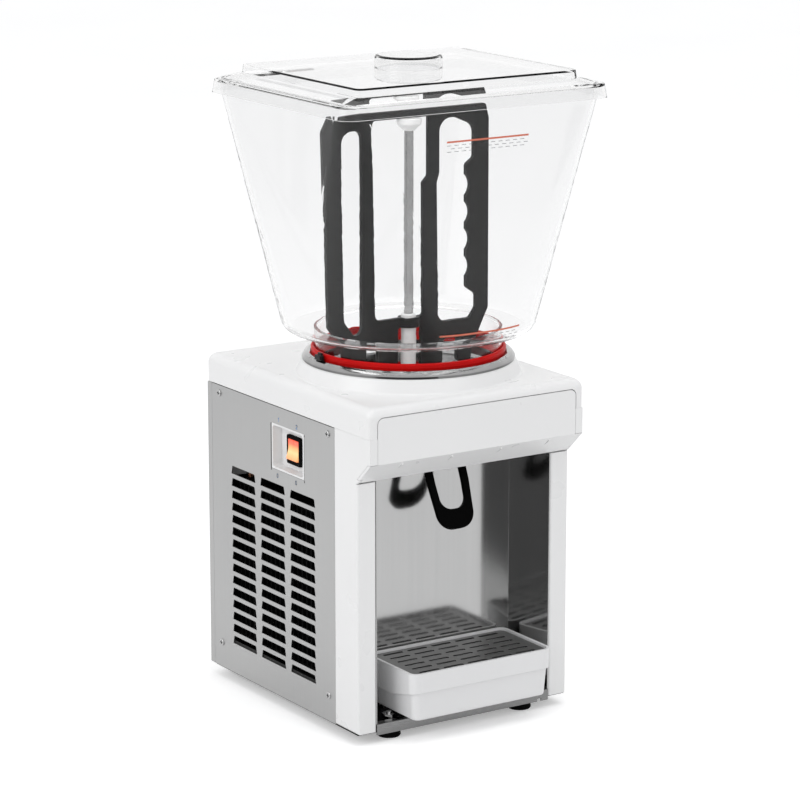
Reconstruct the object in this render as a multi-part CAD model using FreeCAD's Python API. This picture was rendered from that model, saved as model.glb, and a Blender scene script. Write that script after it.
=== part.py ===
import FreeCAD, Part
import math
import os

# Chilled drink dispenser: louvred refrigeration cabinet, cooling pan with a silicone gasket,
# clear tank and lid, black stirrer on a drive rod, cup-actuated valve over a drip tray.
# Millimetres, +Z up, front towards -Y.  Sizes are given from a datum at the foot of the
# front posts, on their front face; every piece is moved from there to the final origin.

Vector = FreeCAD.Vector

# ---- fits and clearances ----
RUNNING = 0.08            # shaft in its bore, on the radius
LOOSE = 0.5               # pieces that lift out of each other
SEAM = 0.3                # visible joint between two fixed mouldings
PRESS_GAP = 0.02          # pieces pushed together, on the radius

# ---- materials in sheet and moulding ----
SHEET = 1.2               # steel cabinet sheet
LINER_SHEET = 1.0         # stainless sheet of the cup bay
MOULD_WALL = 3.0          # white moulded parts

# ---- cabinet ----
BODY_HALF = 130.0         # half the width over the front posts
BODY_DEPTH = 300.0        # posts' front face to the rear panel's outer face
POST_WIDTH = 22.5
POST_DEPTH = 43.0
POST_ROUND = 2.8
LIP_HEIGHT = 265.5        # underside of the fascia's lower lip
SLIT = 1.5                # shadow gap between lip and post top
CHAMFER_RISE = 22.5       # from the lip up to the chamfer's upper fold
LIP_END_RISE = 4.1        # chamfer's ends above the lip, where the side walls run on
HEAD_RISE = 27.0          # from that fold up to where the hood sits
HEAD_PROUD = 24.2         # head and hood in front of the posts
CHEEK_WIDTH = 9.0
LINTEL_FACE = 9.0         # front face of the web that joins the posts
RIB_SPACING = 60.0        # stiffening ribs behind the fascia
POST_RIBS = [70.0, 135.0, 200.0]
REAR_DEPTH = 9.0          # depth of the tray-shaped rear panel
PANEL_DROP = 1.5          # top of the side panels below the hood's seat
DECK_DROP = 17.0          # underside of the deck below the hood's seat
DECK_FLANGE = 11.0
FLANGE = 12.0             # folded sheet edges
FOLD_LOW = 45.0           # ends of the side panels' front fold
FOLD_SHORT = 63.5
PAN_FLANGE = 36.0         # upright sides of the base pan
BAR_BOTTOM = -4.0
BAR_TOP = 7.5
BAR_DEPTH = 9.0

# ---- feet ----
FOOT_HEIGHT = 12.5        # from the ground to the datum
FOOT_RADIUS = 12.5
FOOT_INSET = 48.0         # foot axes from the cabinet's sides
FOOT_FRONT_Y = 17.0
FOOT_BEHIND = 16.0        # rear feet in front of the panels' rear edge
STUD_RADIUS = 3.0
NUT_RADIUS = 7.4
NUT_HEIGHT = 6.0
JAM_NUT_HEIGHT = 5.0

# ---- louvres ----
LOUVRE_COLUMNS = 3
LOUVRE_ROWS = 15
LOUVRE_DROP = 82.9        # uppermost slot below the panel's top
LOUVRE_SHIFT = -0.7       # middle column from the middle of the panel
LOUVRE_COLUMN_PITCH = 60.0
LOUVRE_PITCH = 13.49
LOUVRE_HEIGHT = 8.8
LOUVRE_LENGTH = 50.0
LOUVRE_SLANT = 2.0
LOUVRE_ROUND = 1.6

# ---- rear vents ----
VENT_COLUMNS = 3
VENT_COLUMN_PITCH = 62.0
VENT_ROWS = 8
VENT_LOW = 96.0
VENT_PITCH = 14.0
VENT_LENGTH = 48.0
VENT_HEIGHT = 6.0

# ---- panel screws ----
SCREW_HEAD_RADIUS = 3.9
SCREW_HEAD_HEIGHT = 1.4
SCREW_SHANK_RADIUS = 1.9
SCREW_HOLE_GAP = 0.1
SCREW_LENGTH = 7.0
SCREW_DROP = 8.5          # upper screws below the panel's top
SCREW_LOW = 27.5
SCREW_FROM_POST = 13.5
SCREW_FROM_BACK = 15.5
REAR_SCREW_INSET = 20.0
REAR_SCREW_DROP = 8.0     # upper rear screws below the side ones

# ---- switch ----
SWITCH_Y = 138.0
SWITCH_DROP = 44.5        # switch axis below the panel's top
WELL_AHEAD = 35.5         # well from the switch axis, to the front
WELL_BEHIND = 29.5
WELL_BELOW = 23.0
WELL_ABOVE = 26.0
WELL_DEPTH = 11.6
WELL_WALL = 2.0
WELL_RIM = 2.5
WELL_GAP = 0.2
BEZEL_WIDTH = 27.0
BEZEL_HEIGHT = 31.0
BEZEL_PROUD = 3.0
BEZEL_SIDE = 1.3          # bezel beyond the switch body, each side
BEZEL_END = 2.7
SWITCH_BODY_DEPTH = 22.0
SWITCH_SIDE_WALL = 2.4    # body wall beside the rockers, with its gap
SWITCH_END_WALL = 2.0
ROCKER_ROOM = 0.4         # free space beside the rockers
ROCKER_END_ROOM = 0.9
ROCKER_PIN = 1.2
ROCKER_PIN_LENGTH = 0.9   # into the housing's wall
ROCKER_SPLIT = 0.6
ROCKER_TILT = 8.0

# ---- hood, collar and cooling pan ----
HOOD_OVERHANG = 1.5
HOOD_SETBACK = 0.5        # hood in front of the rear face
HOOD_HEIGHT = 31.0
HOOD_EDGE = 10.0
HOOD_REAR_ROUND = 6.0
HOOD_FRONT_ROUND = 6.0
COLLAR_HEIGHT = 15.0
COLLAR_SPREAD = 5.8       # collar wider at its foot, on the radius
COLLAR_AIR = 0.8          # pan wall to collar bore
PAN_SHEET = 1.2
PAN_WELL_RADIUS = 101.0
PAN_STEP_WIDTH = 5.5
PAN_STEP_RISE = 12.0      # ledge for the gasket above the pan's floor
PAN_DEPTH = 15.0          # floor below the collar's top
RIM_WIDTH = 10.0          # rolled rim outside the pan's wall
RIM_RISE = 7.5
GASKET_LIP = 0.5          # gasket's lip over the rim's inner edge
GASKET_PROUD = 6.2
GASKET_LEDGE = 8.0        # thickness under the tank's neck
GASKET_WALL = 2.7
CLIP_ANGLE = 177.0
CLIP_HALF = 5.5
CLIP_HEIGHT = 5.0
BOSS_RADIUS = 5.0
BOSS_INSET = 18.0
BOSS_FRONT_Y = 24.0
BOSS_BEHIND = 27.0

# ---- fascia plate ----
FASCIA_RISE = 20.3        # fascia plate above the hood's seat
FASCIA_ROUND = 6.5
NOTCH_GAP = 0.8

# ---- drive and stirrer ----
AXIS_BEHIND_BAY = 43.0    # pan, stirrer and tank axis behind the cup bay
POST_RADIUS = 7.8
POST_PROUD = 4.0          # guide post above the stirrer's hub
ROD_RADIUS = 4.8
CAP_RADIUS = 13.0
CAP_HEIGHT = 13.0
CAP_DROP = 9.5            # cap below the stirrer's top
PADDLE_THICKNESS = 5.0
PADDLE_DROP = 25.5        # stirrer below the tank's rim
PADDLE_LIFT = 3.0         # stirrer above the pan's floor
WING_REACH = 6.2          # wing beyond the neck's bore
WING_FLARE = 2.6          # wing wider at the top, half of it
WING_FOOT = 8.0           # wing's lower end above the tank's floor
WING_FALL = 9.5           # from there down to the part inside the neck
HUB_RADIUS = 11.5
HUB_LIFT = 47.0
HUB_LENGTH = 10.0
GRIP_DEPTH = 4.4
GRIP_PITCH = 28.7
GRIP_CHORD = 21.4
GRIP_FINGERS = 4

# ---- tank ----
TANK_WALL = 3.0
TANK_HALF_X = 156.5
TANK_HALF_Y = 129.3
TANK_CORNER = 26.0
RIM_HEIGHT = 12.0
BOWL_EXTRA = 0.7          # round bottom beyond the rim's shorter half
BOWL_EDGE = 12.0          # rounding between wall and floor
BOWL_FLAT = 1.0           # half the flat left between the bottom's four arcs
HOPPER_RISE = 242.0       # floor to rim
NECK_LENGTH = 26.0

# ---- lid ----
LID_WALL = 2.5
LID_GAP = 0.6
LID_SKIRT = 11.0          # how far the skirt hangs below the tank's rim
LID_BRIM = 3.3            # brim thickness over the rim
LID_FLARE = 2.0
LID_SHELF_X = 23.1        # plateau inside the tank's rim
LID_SHELF_Y = 15.5
PLATEAU_LIFT = 9.0
PLATEAU_RISE = 8.0
KNOB_RADIUS = 34.8
KNOB_RISE = 13.0

# ---- cup bay and tray ----
BAY_BACK = 63.0
BAY_SPLAY = 8.5           # bay narrower at its back, each side
BAY_CUT_SIDE = 5.6        # ceiling opening beside the lever
BAY_CUT_AHEAD = 23.0      # ceiling opening in front of the valve
BAY_CUT_REST = 3.0
TRAY_DEPTH = 91.5
TRAY_REST = 3.0           # tray in front of the bay's back wall
TRAY_SIDE_GAP = 12.0
TRAY_SHIFT = 3.5          # tray to the right of the middle of the bay
TRAY_STEP = 2.0           # body narrower than the rim
TRAY_HEIGHT = 51.0
TRAY_CLEAR = 5.5          # tray over the front bar
TRAY_STEP_FRONT_DROP = 21.0
TRAY_STEP_BACK_DROP = 30.0
TRAY_STEP_RUN = 42.5      # length of the slanted step
TRAY_CORNER = 10.0
TRAY_WALL = 3.0
RAIL_INSET = 10.0         # rails from the tray body's sides
RAIL_WIDTH = 12.0
GRILLE_DROP = 2.0         # grille below the tray's rim
GRILLE_GAP = 0.4
GRILLE_SEAT = 3.0         # ledge under the grille
GRILLE_EDGE = 8.0
GRILLE_SHEET = 1.2
GRILLE_SLOT = 24.0
GRILLE_SLOT_WIDTH = 4.5
GRILLE_COLUMNS = 5
GRILLE_ROWS = 6
GRILLE_MARGIN_X = 8.85    # slot field from the grille's sides
GRILLE_MARGIN_Y = 1.25

# ---- lever and valve ----
LEVER_REST = 12.0         # pivot in front of the bay's back wall
LEVER_DROP = 10.0         # pivot below the deck
LEVER_TILT = 23.0
LEVER_HALF = 24.4
LEVER_PAD_HALF = 20.5
LEVER_ARM = 7.6
LEVER_THICKNESS = 4.5
LEVER_LENGTH = 99.5
LEVER_PAD = 21.0
LEVER_SHOULDER = 50.0
LEVER_ROUND = 18.0        # outer corners of the pad
LOOP_ROUND = 13.0         # lower corners of the loop
LOOP_SPREAD = 2.2         # loop wider at its foot, each side
PIN_RADIUS = 3.0
EAR_RADIUS = 6.0
OUTLET_REACH = 70.0       # outlet in front of the stirrer's axis
VALVE_HALF = 13.5
VALVE_DEPTH = 26.0        # valve block below the deck
NOZZLE_RADIUS = 8.0
NOZZLE_DROP = 42.0        # nozzle's mouth below the deck
OUTLET_RADIUS = 7.0
OUTLET_WALL = 1.5
OUTLET_SEAT = 8.0         # outlet tube inside the valve block
STEM_RADIUS = 2.9
SEAT_DROP = 12.0          # valve seat below the deck

# ---- refrigeration ----
GEARBOX_RADIUS = 32.0
GEARBOX_DEPTH = 36.0
MOTOR_RADIUS = 26.0
MOTOR_LENGTH = 36.0
MOTOR_FINS = 12
COUPLING_RADIUS = 9.0
SQUARE_HALF = 3.2
SQUARE_GAP = 0.3
SOCKET_DROP = 1.0         # bottom of the rod's square socket below the deck's underside
OUTPUT_SHAFT = 5.0
COIL_TUBE = 3.2
COIL_START = 26.0
COIL_GROW = 4.6
COIL_TURNS = 6            # half circles
CONDENSER_INSET = 8.0
CONDENSER_DEPTH = 28.0
CONDENSER_FRONT = 85.0
CONDENSER_REST = 26.0     # in front of the panels' rear edge
CONDENSER_LOW = 40.0
CONDENSER_DROP = 83.0     # below the deck
FIN_GAPS = 20
FAN_RADIUS = 58.0
FAN_HUB = 16.0
FAN_BLADES = 5
FAN_MOTOR_RADIUS = 21.0
FAN_MOTOR_LENGTH = 36.0
COMPRESSOR_FROM_FOOT = 35.0    # axis left of the right-hand feet
COMPRESSOR_REST = 79.0    # axis in front of the panels' rear edge
COMPRESSOR_RADIUS = 56.0
COMPRESSOR_HEIGHT = 119.0
COMPRESSOR_BOTTOM = 16.0
MOUNT_RADIUS = 9.0
LINE_RADIUS = 3.0
DISCHARGE_RISE = 21.0     # line above the condenser
DISCHARGE_BEND = 16.0
SUCTION_ASIDE = 13.0      # to the right of the compressor's axis
SUCTION_BEHIND = 35.0     # behind the stirrer's axis
SUCTION_DROP = 52.0
SUCTION_BEND = 14.0
DRIER_INSET = 60.0        # drier, thermostat, relay and gland from the left side
DRIER_Y = 84.0
DRIER_RADIUS = 9.0
DRIER_TUBE = 2.6
DRIER_HEIGHT = 96.0
THERMOSTAT_INSET = 50.0
THERMOSTAT_Y = 207.5
THERMOSTAT_HALF_X = 15.0
THERMOSTAT_HALF_Y = 17.5
THERMOSTAT_DEPTH = 28.0
RELAY_INSET = 80.0
RELAY_HALF = 19.0
RELAY_DEPTH = 34.0
RELAY_LOW = 8.0
RELAY_HIGH = 34.0
GLAND_INSET = 70.0
GLAND_Z = 45.0
GLAND_RADIUS = 9.0
GLAND_BORE = 3.6
GLAND_PROUD = 10.0

# ---- sizes that follow: cabinet ----
PANEL_INNER = BODY_HALF - SHEET
POST_INNER = BODY_HALF - POST_WIDTH
HEAD_FRONT = -HEAD_PROUD
CHAMFER_TOP = LIP_HEIGHT + CHAMFER_RISE
LIP_END = LIP_HEIGHT + LIP_END_RISE
FRAME_TOP = CHAMFER_TOP + HEAD_RISE
FASCIA_TOP = FRAME_TOP + FASCIA_RISE
REAR_FACE = BODY_DEPTH
PANEL_BACK = REAR_FACE - REAR_DEPTH
PANEL_TOP = FRAME_TOP - PANEL_DROP
DECK_BOTTOM = FRAME_TOP - DECK_DROP
DECK_TOP = DECK_BOTTOM + SHEET
FOOT_X = BODY_HALF - FOOT_INSET
FOOT_REAR_Y = PANEL_BACK - FOOT_BEHIND
LOUVRE_TOP = PANEL_TOP - LOUVRE_DROP
LOUVRE_MIDDLE = (POST_DEPTH + PANEL_BACK) / 2 + LOUVRE_SHIFT
SCREW_HIGH = PANEL_TOP - SCREW_DROP
SCREW_NEAR = POST_DEPTH + SCREW_FROM_POST
SCREW_FAR = PANEL_BACK - SCREW_FROM_BACK

# ---- sizes that follow: switch ----
SWITCH_Z = PANEL_TOP - SWITCH_DROP
WELL_FRONT = SWITCH_Y - WELL_AHEAD
WELL_BACK = SWITCH_Y + WELL_BEHIND
WELL_LOW = SWITCH_Z - WELL_BELOW
WELL_HIGH = SWITCH_Z + WELL_ABOVE
WELL_FLOOR = -BODY_HALF + WELL_DEPTH
SWITCH_BODY_HALF = BEZEL_WIDTH / 2 - BEZEL_SIDE
SWITCH_BODY_HIGH = BEZEL_HEIGHT / 2 - BEZEL_END
ROCKER_WIDTH = SWITCH_BODY_HALF - SWITCH_SIDE_WALL
ROCKER_HEIGHT = 2 * (SWITCH_BODY_HIGH - SWITCH_END_WALL)

# ---- sizes that follow: hood, pan, tank and lid ----
AXIS_Y = BAY_BACK + AXIS_BEHIND_BAY
HOOD_BACK = REAR_FACE - HOOD_SETBACK
HOOD_TOP = FRAME_TOP + HOOD_HEIGHT
COLLAR_TOP = HOOD_TOP + COLLAR_HEIGHT
COLLAR_BORE = PAN_WELL_RADIUS + PAN_SHEET + COLLAR_AIR
PAN_RIM_RADIUS = PAN_WELL_RADIUS + RIM_WIDTH
PAN_STEP_RADIUS = PAN_WELL_RADIUS - PAN_STEP_WIDTH
COLLAR_TOP_RADIUS = PAN_RIM_RADIUS
COLLAR_FOOT_RADIUS = COLLAR_TOP_RADIUS + COLLAR_SPREAD
PAN_FLOOR = COLLAR_TOP - PAN_DEPTH
PAN_UNDERSIDE = PAN_FLOOR - PAN_SHEET
PAN_STEP_HEIGHT = PAN_FLOOR + PAN_STEP_RISE
PAN_RIM_CREST = COLLAR_TOP + RIM_RISE
FOAM_TOP = PAN_UNDERSIDE - 2 * COIL_TUBE
GASKET_TOP = PAN_RIM_CREST + GASKET_PROUD
GASKET_LIP_RADIUS = PAN_WELL_RADIUS + GASKET_LIP
BOSS_X = BODY_HALF - BOSS_INSET
BOSS_REAR_Y = HOOD_BACK - BOSS_BEHIND
NECK_RADIUS = PAN_WELL_RADIUS - GASKET_WALL - LOOSE
NECK_BOTTOM = PAN_STEP_HEIGHT + GASKET_LEDGE
TANK_FLOOR = NECK_BOTTOM + NECK_LENGTH
TANK_RIM_FOOT = TANK_FLOOR + HOPPER_RISE
BOWL_HALF = TANK_HALF_Y + BOWL_EXTRA
TANK_TOP = TANK_RIM_FOOT + RIM_HEIGHT
PLATEAU_HALF_X = TANK_HALF_X - LID_SHELF_X
PLATEAU_HALF_Y = TANK_HALF_Y - LID_SHELF_Y
PLATEAU_FOOT = TANK_TOP + PLATEAU_LIFT
PLATEAU_TOP = PLATEAU_FOOT + PLATEAU_RISE
KNOB_TOP = PLATEAU_TOP + KNOB_RISE

# ---- sizes that follow: drive and stirrer ----
SOCKET_FLOOR = DECK_BOTTOM - SOCKET_DROP
GEARBOX_BOTTOM = DECK_BOTTOM - GEARBOX_DEPTH
MOTOR_BOTTOM = GEARBOX_BOTTOM - MOTOR_LENGTH
HUB_BOTTOM = PAN_FLOOR + HUB_LIFT
HUB_TOP = HUB_BOTTOM + HUB_LENGTH
POST_TOP = HUB_TOP + POST_PROUD
PADDLE_FOOT = PAN_FLOOR + PADDLE_LIFT
PADDLE_TOP = TANK_TOP - PADDLE_DROP
PADDLE_BORE = NECK_RADIUS - TANK_WALL
PADDLE_WING = PADDLE_BORE + WING_REACH
PADDLE_SHOULDER = TANK_FLOOR + WING_FOOT
CAP_TOP = PADDLE_TOP - CAP_DROP

# ---- sizes that follow: cup bay, tray, lever and valve ----
BAY_BACK_HALF = POST_INNER - BAY_SPLAY
TRAY_BACK = BAY_BACK - TRAY_REST
TRAY_FRONT = TRAY_BACK - TRAY_DEPTH
TRAY_HALF = BAY_BACK_HALF - TRAY_SIDE_GAP
TRAY_BODY_HALF = TRAY_HALF - TRAY_STEP
TRAY_BOTTOM = BAR_TOP + TRAY_CLEAR
TRAY_TOP = TRAY_BOTTOM + TRAY_HEIGHT
TRAY_STEP_FRONT = TRAY_TOP - TRAY_STEP_FRONT_DROP
TRAY_STEP_BACK = TRAY_TOP - TRAY_STEP_BACK_DROP
LEVER_PIVOT_Y = BAY_BACK - LEVER_REST
LEVER_PIVOT_Z = DECK_BOTTOM - LEVER_DROP
VALVE_Y = AXIS_Y - OUTLET_REACH
VALVE_LOW = DECK_BOTTOM - VALVE_DEPTH
VALVE_SEAT = DECK_BOTTOM - SEAT_DROP
NOZZLE_BOTTOM = DECK_BOTTOM - NOZZLE_DROP
BAY_CUT_HALF = LEVER_HALF + BAY_CUT_SIDE
BAY_CUT_FRONT = VALVE_Y - BAY_CUT_AHEAD
BAY_CUT_BACK = BAY_BACK - BAY_CUT_REST

# ---- sizes that follow: refrigeration ----
CONDENSER_OUTER = -BODY_HALF + CONDENSER_INSET
CONDENSER_INNER = CONDENSER_OUTER + CONDENSER_DEPTH
CONDENSER_BACK = PANEL_BACK - CONDENSER_REST
CONDENSER_HIGH = DECK_BOTTOM - CONDENSER_DROP
FAN_Y = (CONDENSER_FRONT + CONDENSER_BACK) / 2
FAN_Z = (CONDENSER_LOW + CONDENSER_HIGH) / 2
COMPRESSOR_Y = PANEL_BACK - COMPRESSOR_REST
COMPRESSOR_TOP = COMPRESSOR_BOTTOM + COMPRESSOR_HEIGHT
COMPRESSOR_X = FOOT_X - COMPRESSOR_FROM_FOOT
SUCTION_X = COMPRESSOR_X + SUCTION_ASIDE
SUCTION_Y = AXIS_Y + SUCTION_BEHIND
DRIER_X = -BODY_HALF + DRIER_INSET
THERMOSTAT_X = -BODY_HALF + THERMOSTAT_INSET
RELAY_X = -BODY_HALF + RELAY_INSET
GLAND_X = -BODY_HALF + GLAND_INSET
ORIGIN_Y = (TRAY_FRONT + REAR_FACE + GLAND_PROUD) / 2


# ---- helpers ----
def box(x0, x1, y0, y1, z0, z1):
    """Block between two corners."""
    return Part.makeBox(x1 - x0, y1 - y0, z1 - z0, Vector(x0, y0, z0))


def rod(radius, start, end):
    """Cylinder from one point to another."""
    a = Vector(*start)
    d = Vector(*end) - a
    return Part.makeCylinder(radius, d.Length, a, d)


def disc(radius, z0, z1, x=0.0, y=AXIS_Y):
    """Upright cylinder, by default on the stirrer's axis."""
    return rod(radius, (x, y, z0), (x, y, z1))


def mirrored(shape):
    """The same piece on the other side of the middle plane."""
    return shape.mirror(Vector(0, 0, 0), Vector(1, 0, 0))


def outline(corners, place):
    """Closed wire through corners (a, b, radius); place turns (a, b) into a point in space."""
    flat = [Vector(c[0], c[1], 0) for c in corners]
    starts, mids, ends = [], [], []
    for i, corner in enumerate(corners):
        here = flat[i]
        radius = corner[2]
        if radius <= 0:
            starts.append(here)
            mids.append(None)
            ends.append(here)
            continue
        back = (flat[i - 1] - here).normalize()
        ahead = (flat[(i + 1) % len(flat)] - here).normalize()
        half = back.getAngle(ahead) / 2
        reach = radius / math.tan(half)
        inward = (back + ahead).normalize()
        centre = here + inward * (radius / math.sin(half))
        starts.append(here + back * reach)
        mids.append(centre - inward * radius)
        ends.append(here + ahead * reach)
    edges = []
    for i in range(len(corners)):
        a = place(starts[i].x, starts[i].y)
        b = place(ends[i].x, ends[i].y)
        if mids[i] is not None:
            m = place(mids[i].x, mids[i].y)
            edges.append(Part.Arc(a, m, b).toShape())
        nxt = starts[(i + 1) % len(corners)]
        c = place(nxt.x, nxt.y)
        if (c - b).Length > 1e-6:
            edges.append(Part.LineSegment(b, c).toShape())
    return Part.Wire(edges)


def plate(corners, place, thickness):
    """Flat plate with a rounded outline, thickened along a vector."""
    return Part.Face(outline(corners, place)).extrude(thickness)


def rounded_rectangle(half_x, half_y, corner, z, y=AXIS_Y):
    """Horizontal rounded rectangle centred on the stirrer's axis unless told otherwise."""
    corners = [(half_x, -half_y, corner), (half_x, half_y, corner)]
    corners += [(-half_x, half_y, corner), (-half_x, -half_y, corner)]
    return outline(corners, lambda a, b: Vector(a, y + b, z))


def taper(low, high, y=AXIS_Y):
    """Solid between two rounded rectangles given as (half_x, half_y, corner, z)."""
    wires = [rounded_rectangle(*low, y=y), rounded_rectangle(*high, y=y)]
    return Part.makeLoft(wires, True, True)


def turned(profile, x=0.0, y=AXIS_Y):
    """Solid of revolution about an upright axis from (radius, height) corners."""
    wire = Part.makePolygon([Vector(x + r, y, z) for r, z in profile + profile[:1]])
    return Part.Face(wire).revolve(Vector(x, y, 0), Vector(0, 0, 1), 360)


def section_x(profile, x0, x1):
    """Prism along X from (y, z) corners."""
    wire = Part.makePolygon([Vector(x0, y, z) for y, z in profile + profile[:1]])
    return Part.Face(wire).extrude(Vector(x1 - x0, 0, 0))


def fused(shapes):
    """One solid from overlapping or touching ones."""
    first = shapes[0]
    return first.fuse(shapes[1:]).removeSplitter()


def edges_at(shape, test):
    """Edges whose middle passes a test."""
    found = []
    for edge in shape.Edges:
        middle = edge.valueAt((edge.FirstParameter + edge.LastParameter) / 2)
        ends = [v.Point for v in edge.Vertexes]
        if test(middle, ends):
            found.append(edge)
    return found


def upright(ends):
    """True for a straight upright edge."""
    if len(ends) < 2:
        return False
    d = ends[1] - ends[0]
    return abs(d.x) < 1e-4 and abs(d.y) < 1e-4


def tube_path(points, radius, bend):
    """Pipe of round section through points, each inner corner rounded by bend."""
    vectors = [Vector(*p) for p in points]
    edges = []
    last = vectors[0]
    for i in range(1, len(vectors) - 1):
        here = vectors[i]
        back = (vectors[i - 1] - here).normalize()
        ahead = (vectors[i + 1] - here).normalize()
        half = back.getAngle(ahead) / 2
        reach = bend / math.tan(half)
        inward = (back + ahead).normalize()
        centre = here + inward * (bend / math.sin(half))
        a = here + back * reach
        b = here + ahead * reach
        edges.append(Part.LineSegment(last, a).toShape())
        edges.append(Part.Arc(a, centre - inward * bend, b).toShape())
        last = b
    edges.append(Part.LineSegment(last, vectors[-1]).toShape())
    spine = Part.Wire(edges)
    start = (vectors[1] - vectors[0]).normalize()
    ring = Part.Wire([Part.Circle(vectors[0], start, radius).toShape()])
    return spine.makePipeShell([ring], True, False)


# ---- fascia and front frame ----
def chamfer_inside(gap):
    """Where a line parallel to the chamfer, deeper by gap, passes: a point and its direction."""
    run = Vector(0, -HEAD_FRONT, LIP_HEIGHT - CHAMFER_TOP).normalize()
    inward = Vector(0, -run.z, run.y)
    return Vector(0, HEAD_FRONT, CHAMFER_TOP) + inward * gap, run


def chamfer_at_height(gap, z):
    """The y of that parallel line at height z."""
    point, run = chamfer_inside(gap)
    return point.y + run.y * (z - point.z) / run.z


def fascia_upper_outline(gap, bottom):
    """Outline of the upper fascia seen from the front, grown by gap."""
    half = BODY_HALF - CHEEK_WIDTH + gap
    top = FASCIA_TOP + gap
    return [(-half, bottom, 0), (half, bottom, 0),
            (half, top, FASCIA_ROUND + gap), (-half, top, FASCIA_ROUND + gap)]


def front_panel():
    """Bare fascia plate with the full-width chamfer and lower lip in one moulding."""
    face = HEAD_FRONT
    corners = fascia_upper_outline(0.0, CHAMFER_TOP - 2)
    upper = plate(corners, lambda a, b: Vector(a, face, b), Vector(0, MOULD_WALL, 0))
    lip_top = LIP_HEIGHT + MOULD_WALL
    under = [(face, CHAMFER_TOP), (0.0, LIP_HEIGHT), (7.5, LIP_HEIGHT), (7.5, lip_top)]
    under += [(chamfer_at_height(MOULD_WALL, lip_top), lip_top)]
    under += [(chamfer_at_height(MOULD_WALL, CHAMFER_TOP), CHAMFER_TOP)]
    lower = section_x(under, -BODY_HALF, BODY_HALF)
    trim = box(-BODY_HALF, BODY_HALF, face - 1, face + 9, CHAMFER_TOP - 4, CHAMFER_TOP)
    upper = upper.cut(trim.cut(lower))
    end = box(BODY_HALF - MOULD_WALL - SEAM, BODY_HALF + 1, face, LINTEL_FACE,
              LIP_HEIGHT - 1, LIP_END)
    lower = lower.cut(end.fuse(mirrored(end)))
    stiff = []
    low = LIP_HEIGHT + 8.5
    for i in range(4):
        x = (i - 1.5) * RIB_SPACING
        root = face + MOULD_WALL - 0.5
        rib = [(root, FASCIA_TOP - 5.3), (root, CHAMFER_TOP - 4)]
        rib += [(chamfer_at_height(1.0, low), low), (LINTEL_FACE, low)]
        rib += [(LINTEL_FACE, low + 12), (face + 6.5, CHAMFER_TOP + 12)]
        rib += [(face + 6.5, FASCIA_TOP - 9.3)]
        stiff.append(section_x(rib, x - 1, x + 1))
    body = fused([upper, lower] + stiff)
    return body


def frame_side():
    """Right-hand post, cheek and upper side wall of the front frame."""
    top = LIP_HEIGHT - SLIT
    outer = box(POST_INNER, BODY_HALF, 0, POST_DEPTH, 0, top)

    def soft(m, ends):
        if upright(ends) and abs(m.y) < 1e-3:
            return True
        return abs(m.x - BODY_HALF) < 1e-3 and abs(m.z) < 1e-3

    outer = outer.makeFillet(POST_ROUND, edges_at(outer, soft))
    pocket = box(POST_INNER + MOULD_WALL, BODY_HALF - MOULD_WALL,
                 MOULD_WALL, POST_DEPTH + 1, MOULD_WALL, top - MOULD_WALL)
    post = outer.cut(pocket)
    post = post.cut(box(POST_INNER - 1, BODY_HALF - MOULD_WALL, POST_DEPTH - 13, POST_DEPTH + 1,
                        MOULD_WALL, top - MOULD_WALL))
    ribs = []
    for z in POST_RIBS:
        ribs.append(box(POST_INNER + 1, BODY_HALF - 1, MOULD_WALL - 1, POST_DEPTH - 18, z, z + 2))
    gap = MOULD_WALL + SEAM
    lip_top = LIP_HEIGHT + gap
    step = CHAMFER_TOP + SEAM
    nose = LIP_END - SEAM
    head = [(POST_DEPTH, top - 1), (POST_ROUND, top - 1), (POST_ROUND, top), (0.0, LIP_HEIGHT)]
    head += [(chamfer_at_height(0.0, nose), nose), (chamfer_at_height(gap, nose), nose)]
    head += [(chamfer_at_height(gap, step), step)]
    head += [(HEAD_FRONT, step), (HEAD_FRONT, FRAME_TOP), (POST_DEPTH, FRAME_TOP)]
    wall = section_x(head, BODY_HALF - MOULD_WALL, BODY_HALF)
    cheek_in = BODY_HALF - CHEEK_WIDTH + SEAM
    short = [(8.0, lip_top), (chamfer_at_height(gap, lip_top), lip_top)]
    short += [(chamfer_at_height(gap, step), step), (HEAD_FRONT, step)]
    short += [(HEAD_FRONT, FRAME_TOP), (8.0, FRAME_TOP)]
    inner_wall = section_x(short, cheek_in, cheek_in + 2)
    front_wall = box(cheek_in, BODY_HALF, HEAD_FRONT, HEAD_FRONT + MOULD_WALL, step, FRAME_TOP)
    slope = [(chamfer_at_height(gap, lip_top), lip_top), (chamfer_at_height(gap, step), step)]
    slope += [(chamfer_at_height(gap, step) + 3, step + 1.5), (8.0, lip_top + 2.5)]
    slope += [(8.0, lip_top)]
    sloping = section_x(slope, cheek_in, BODY_HALF)
    return fused([post, wall, inner_wall, front_wall, sloping] + ribs)


def front_frame():
    """Portal moulding: two hollow posts with cheeks, joined by the lintel over the cup bay."""
    side = frame_side()
    top = LIP_HEIGHT - SLIT
    inner = BODY_HALF - MOULD_WALL + 0.5
    face = LINTEL_FACE
    back = LINTEL_FACE + MOULD_WALL
    lintel = box(-inner, inner, face, back, top, DECK_BOTTOM)
    cap = box(POST_INNER, inner, MOULD_WALL, POST_DEPTH, top - MOULD_WALL, top)
    ledge = box(-inner, inner, face, back + 8, DECK_BOTTOM - MOULD_WALL, DECK_BOTTOM)
    webs = []
    for x in (-70.0, 0.0, 70.0):
        wedge = [(back, DECK_BOTTOM - 22), (back, DECK_BOTTOM - 1), (back + 7, DECK_BOTTOM - 1)]
        webs.append(section_x(wedge, x - 1, x + 1))
    return fused([side, mirrored(side), lintel, cap, mirrored(cap), ledge] + webs)


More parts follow.
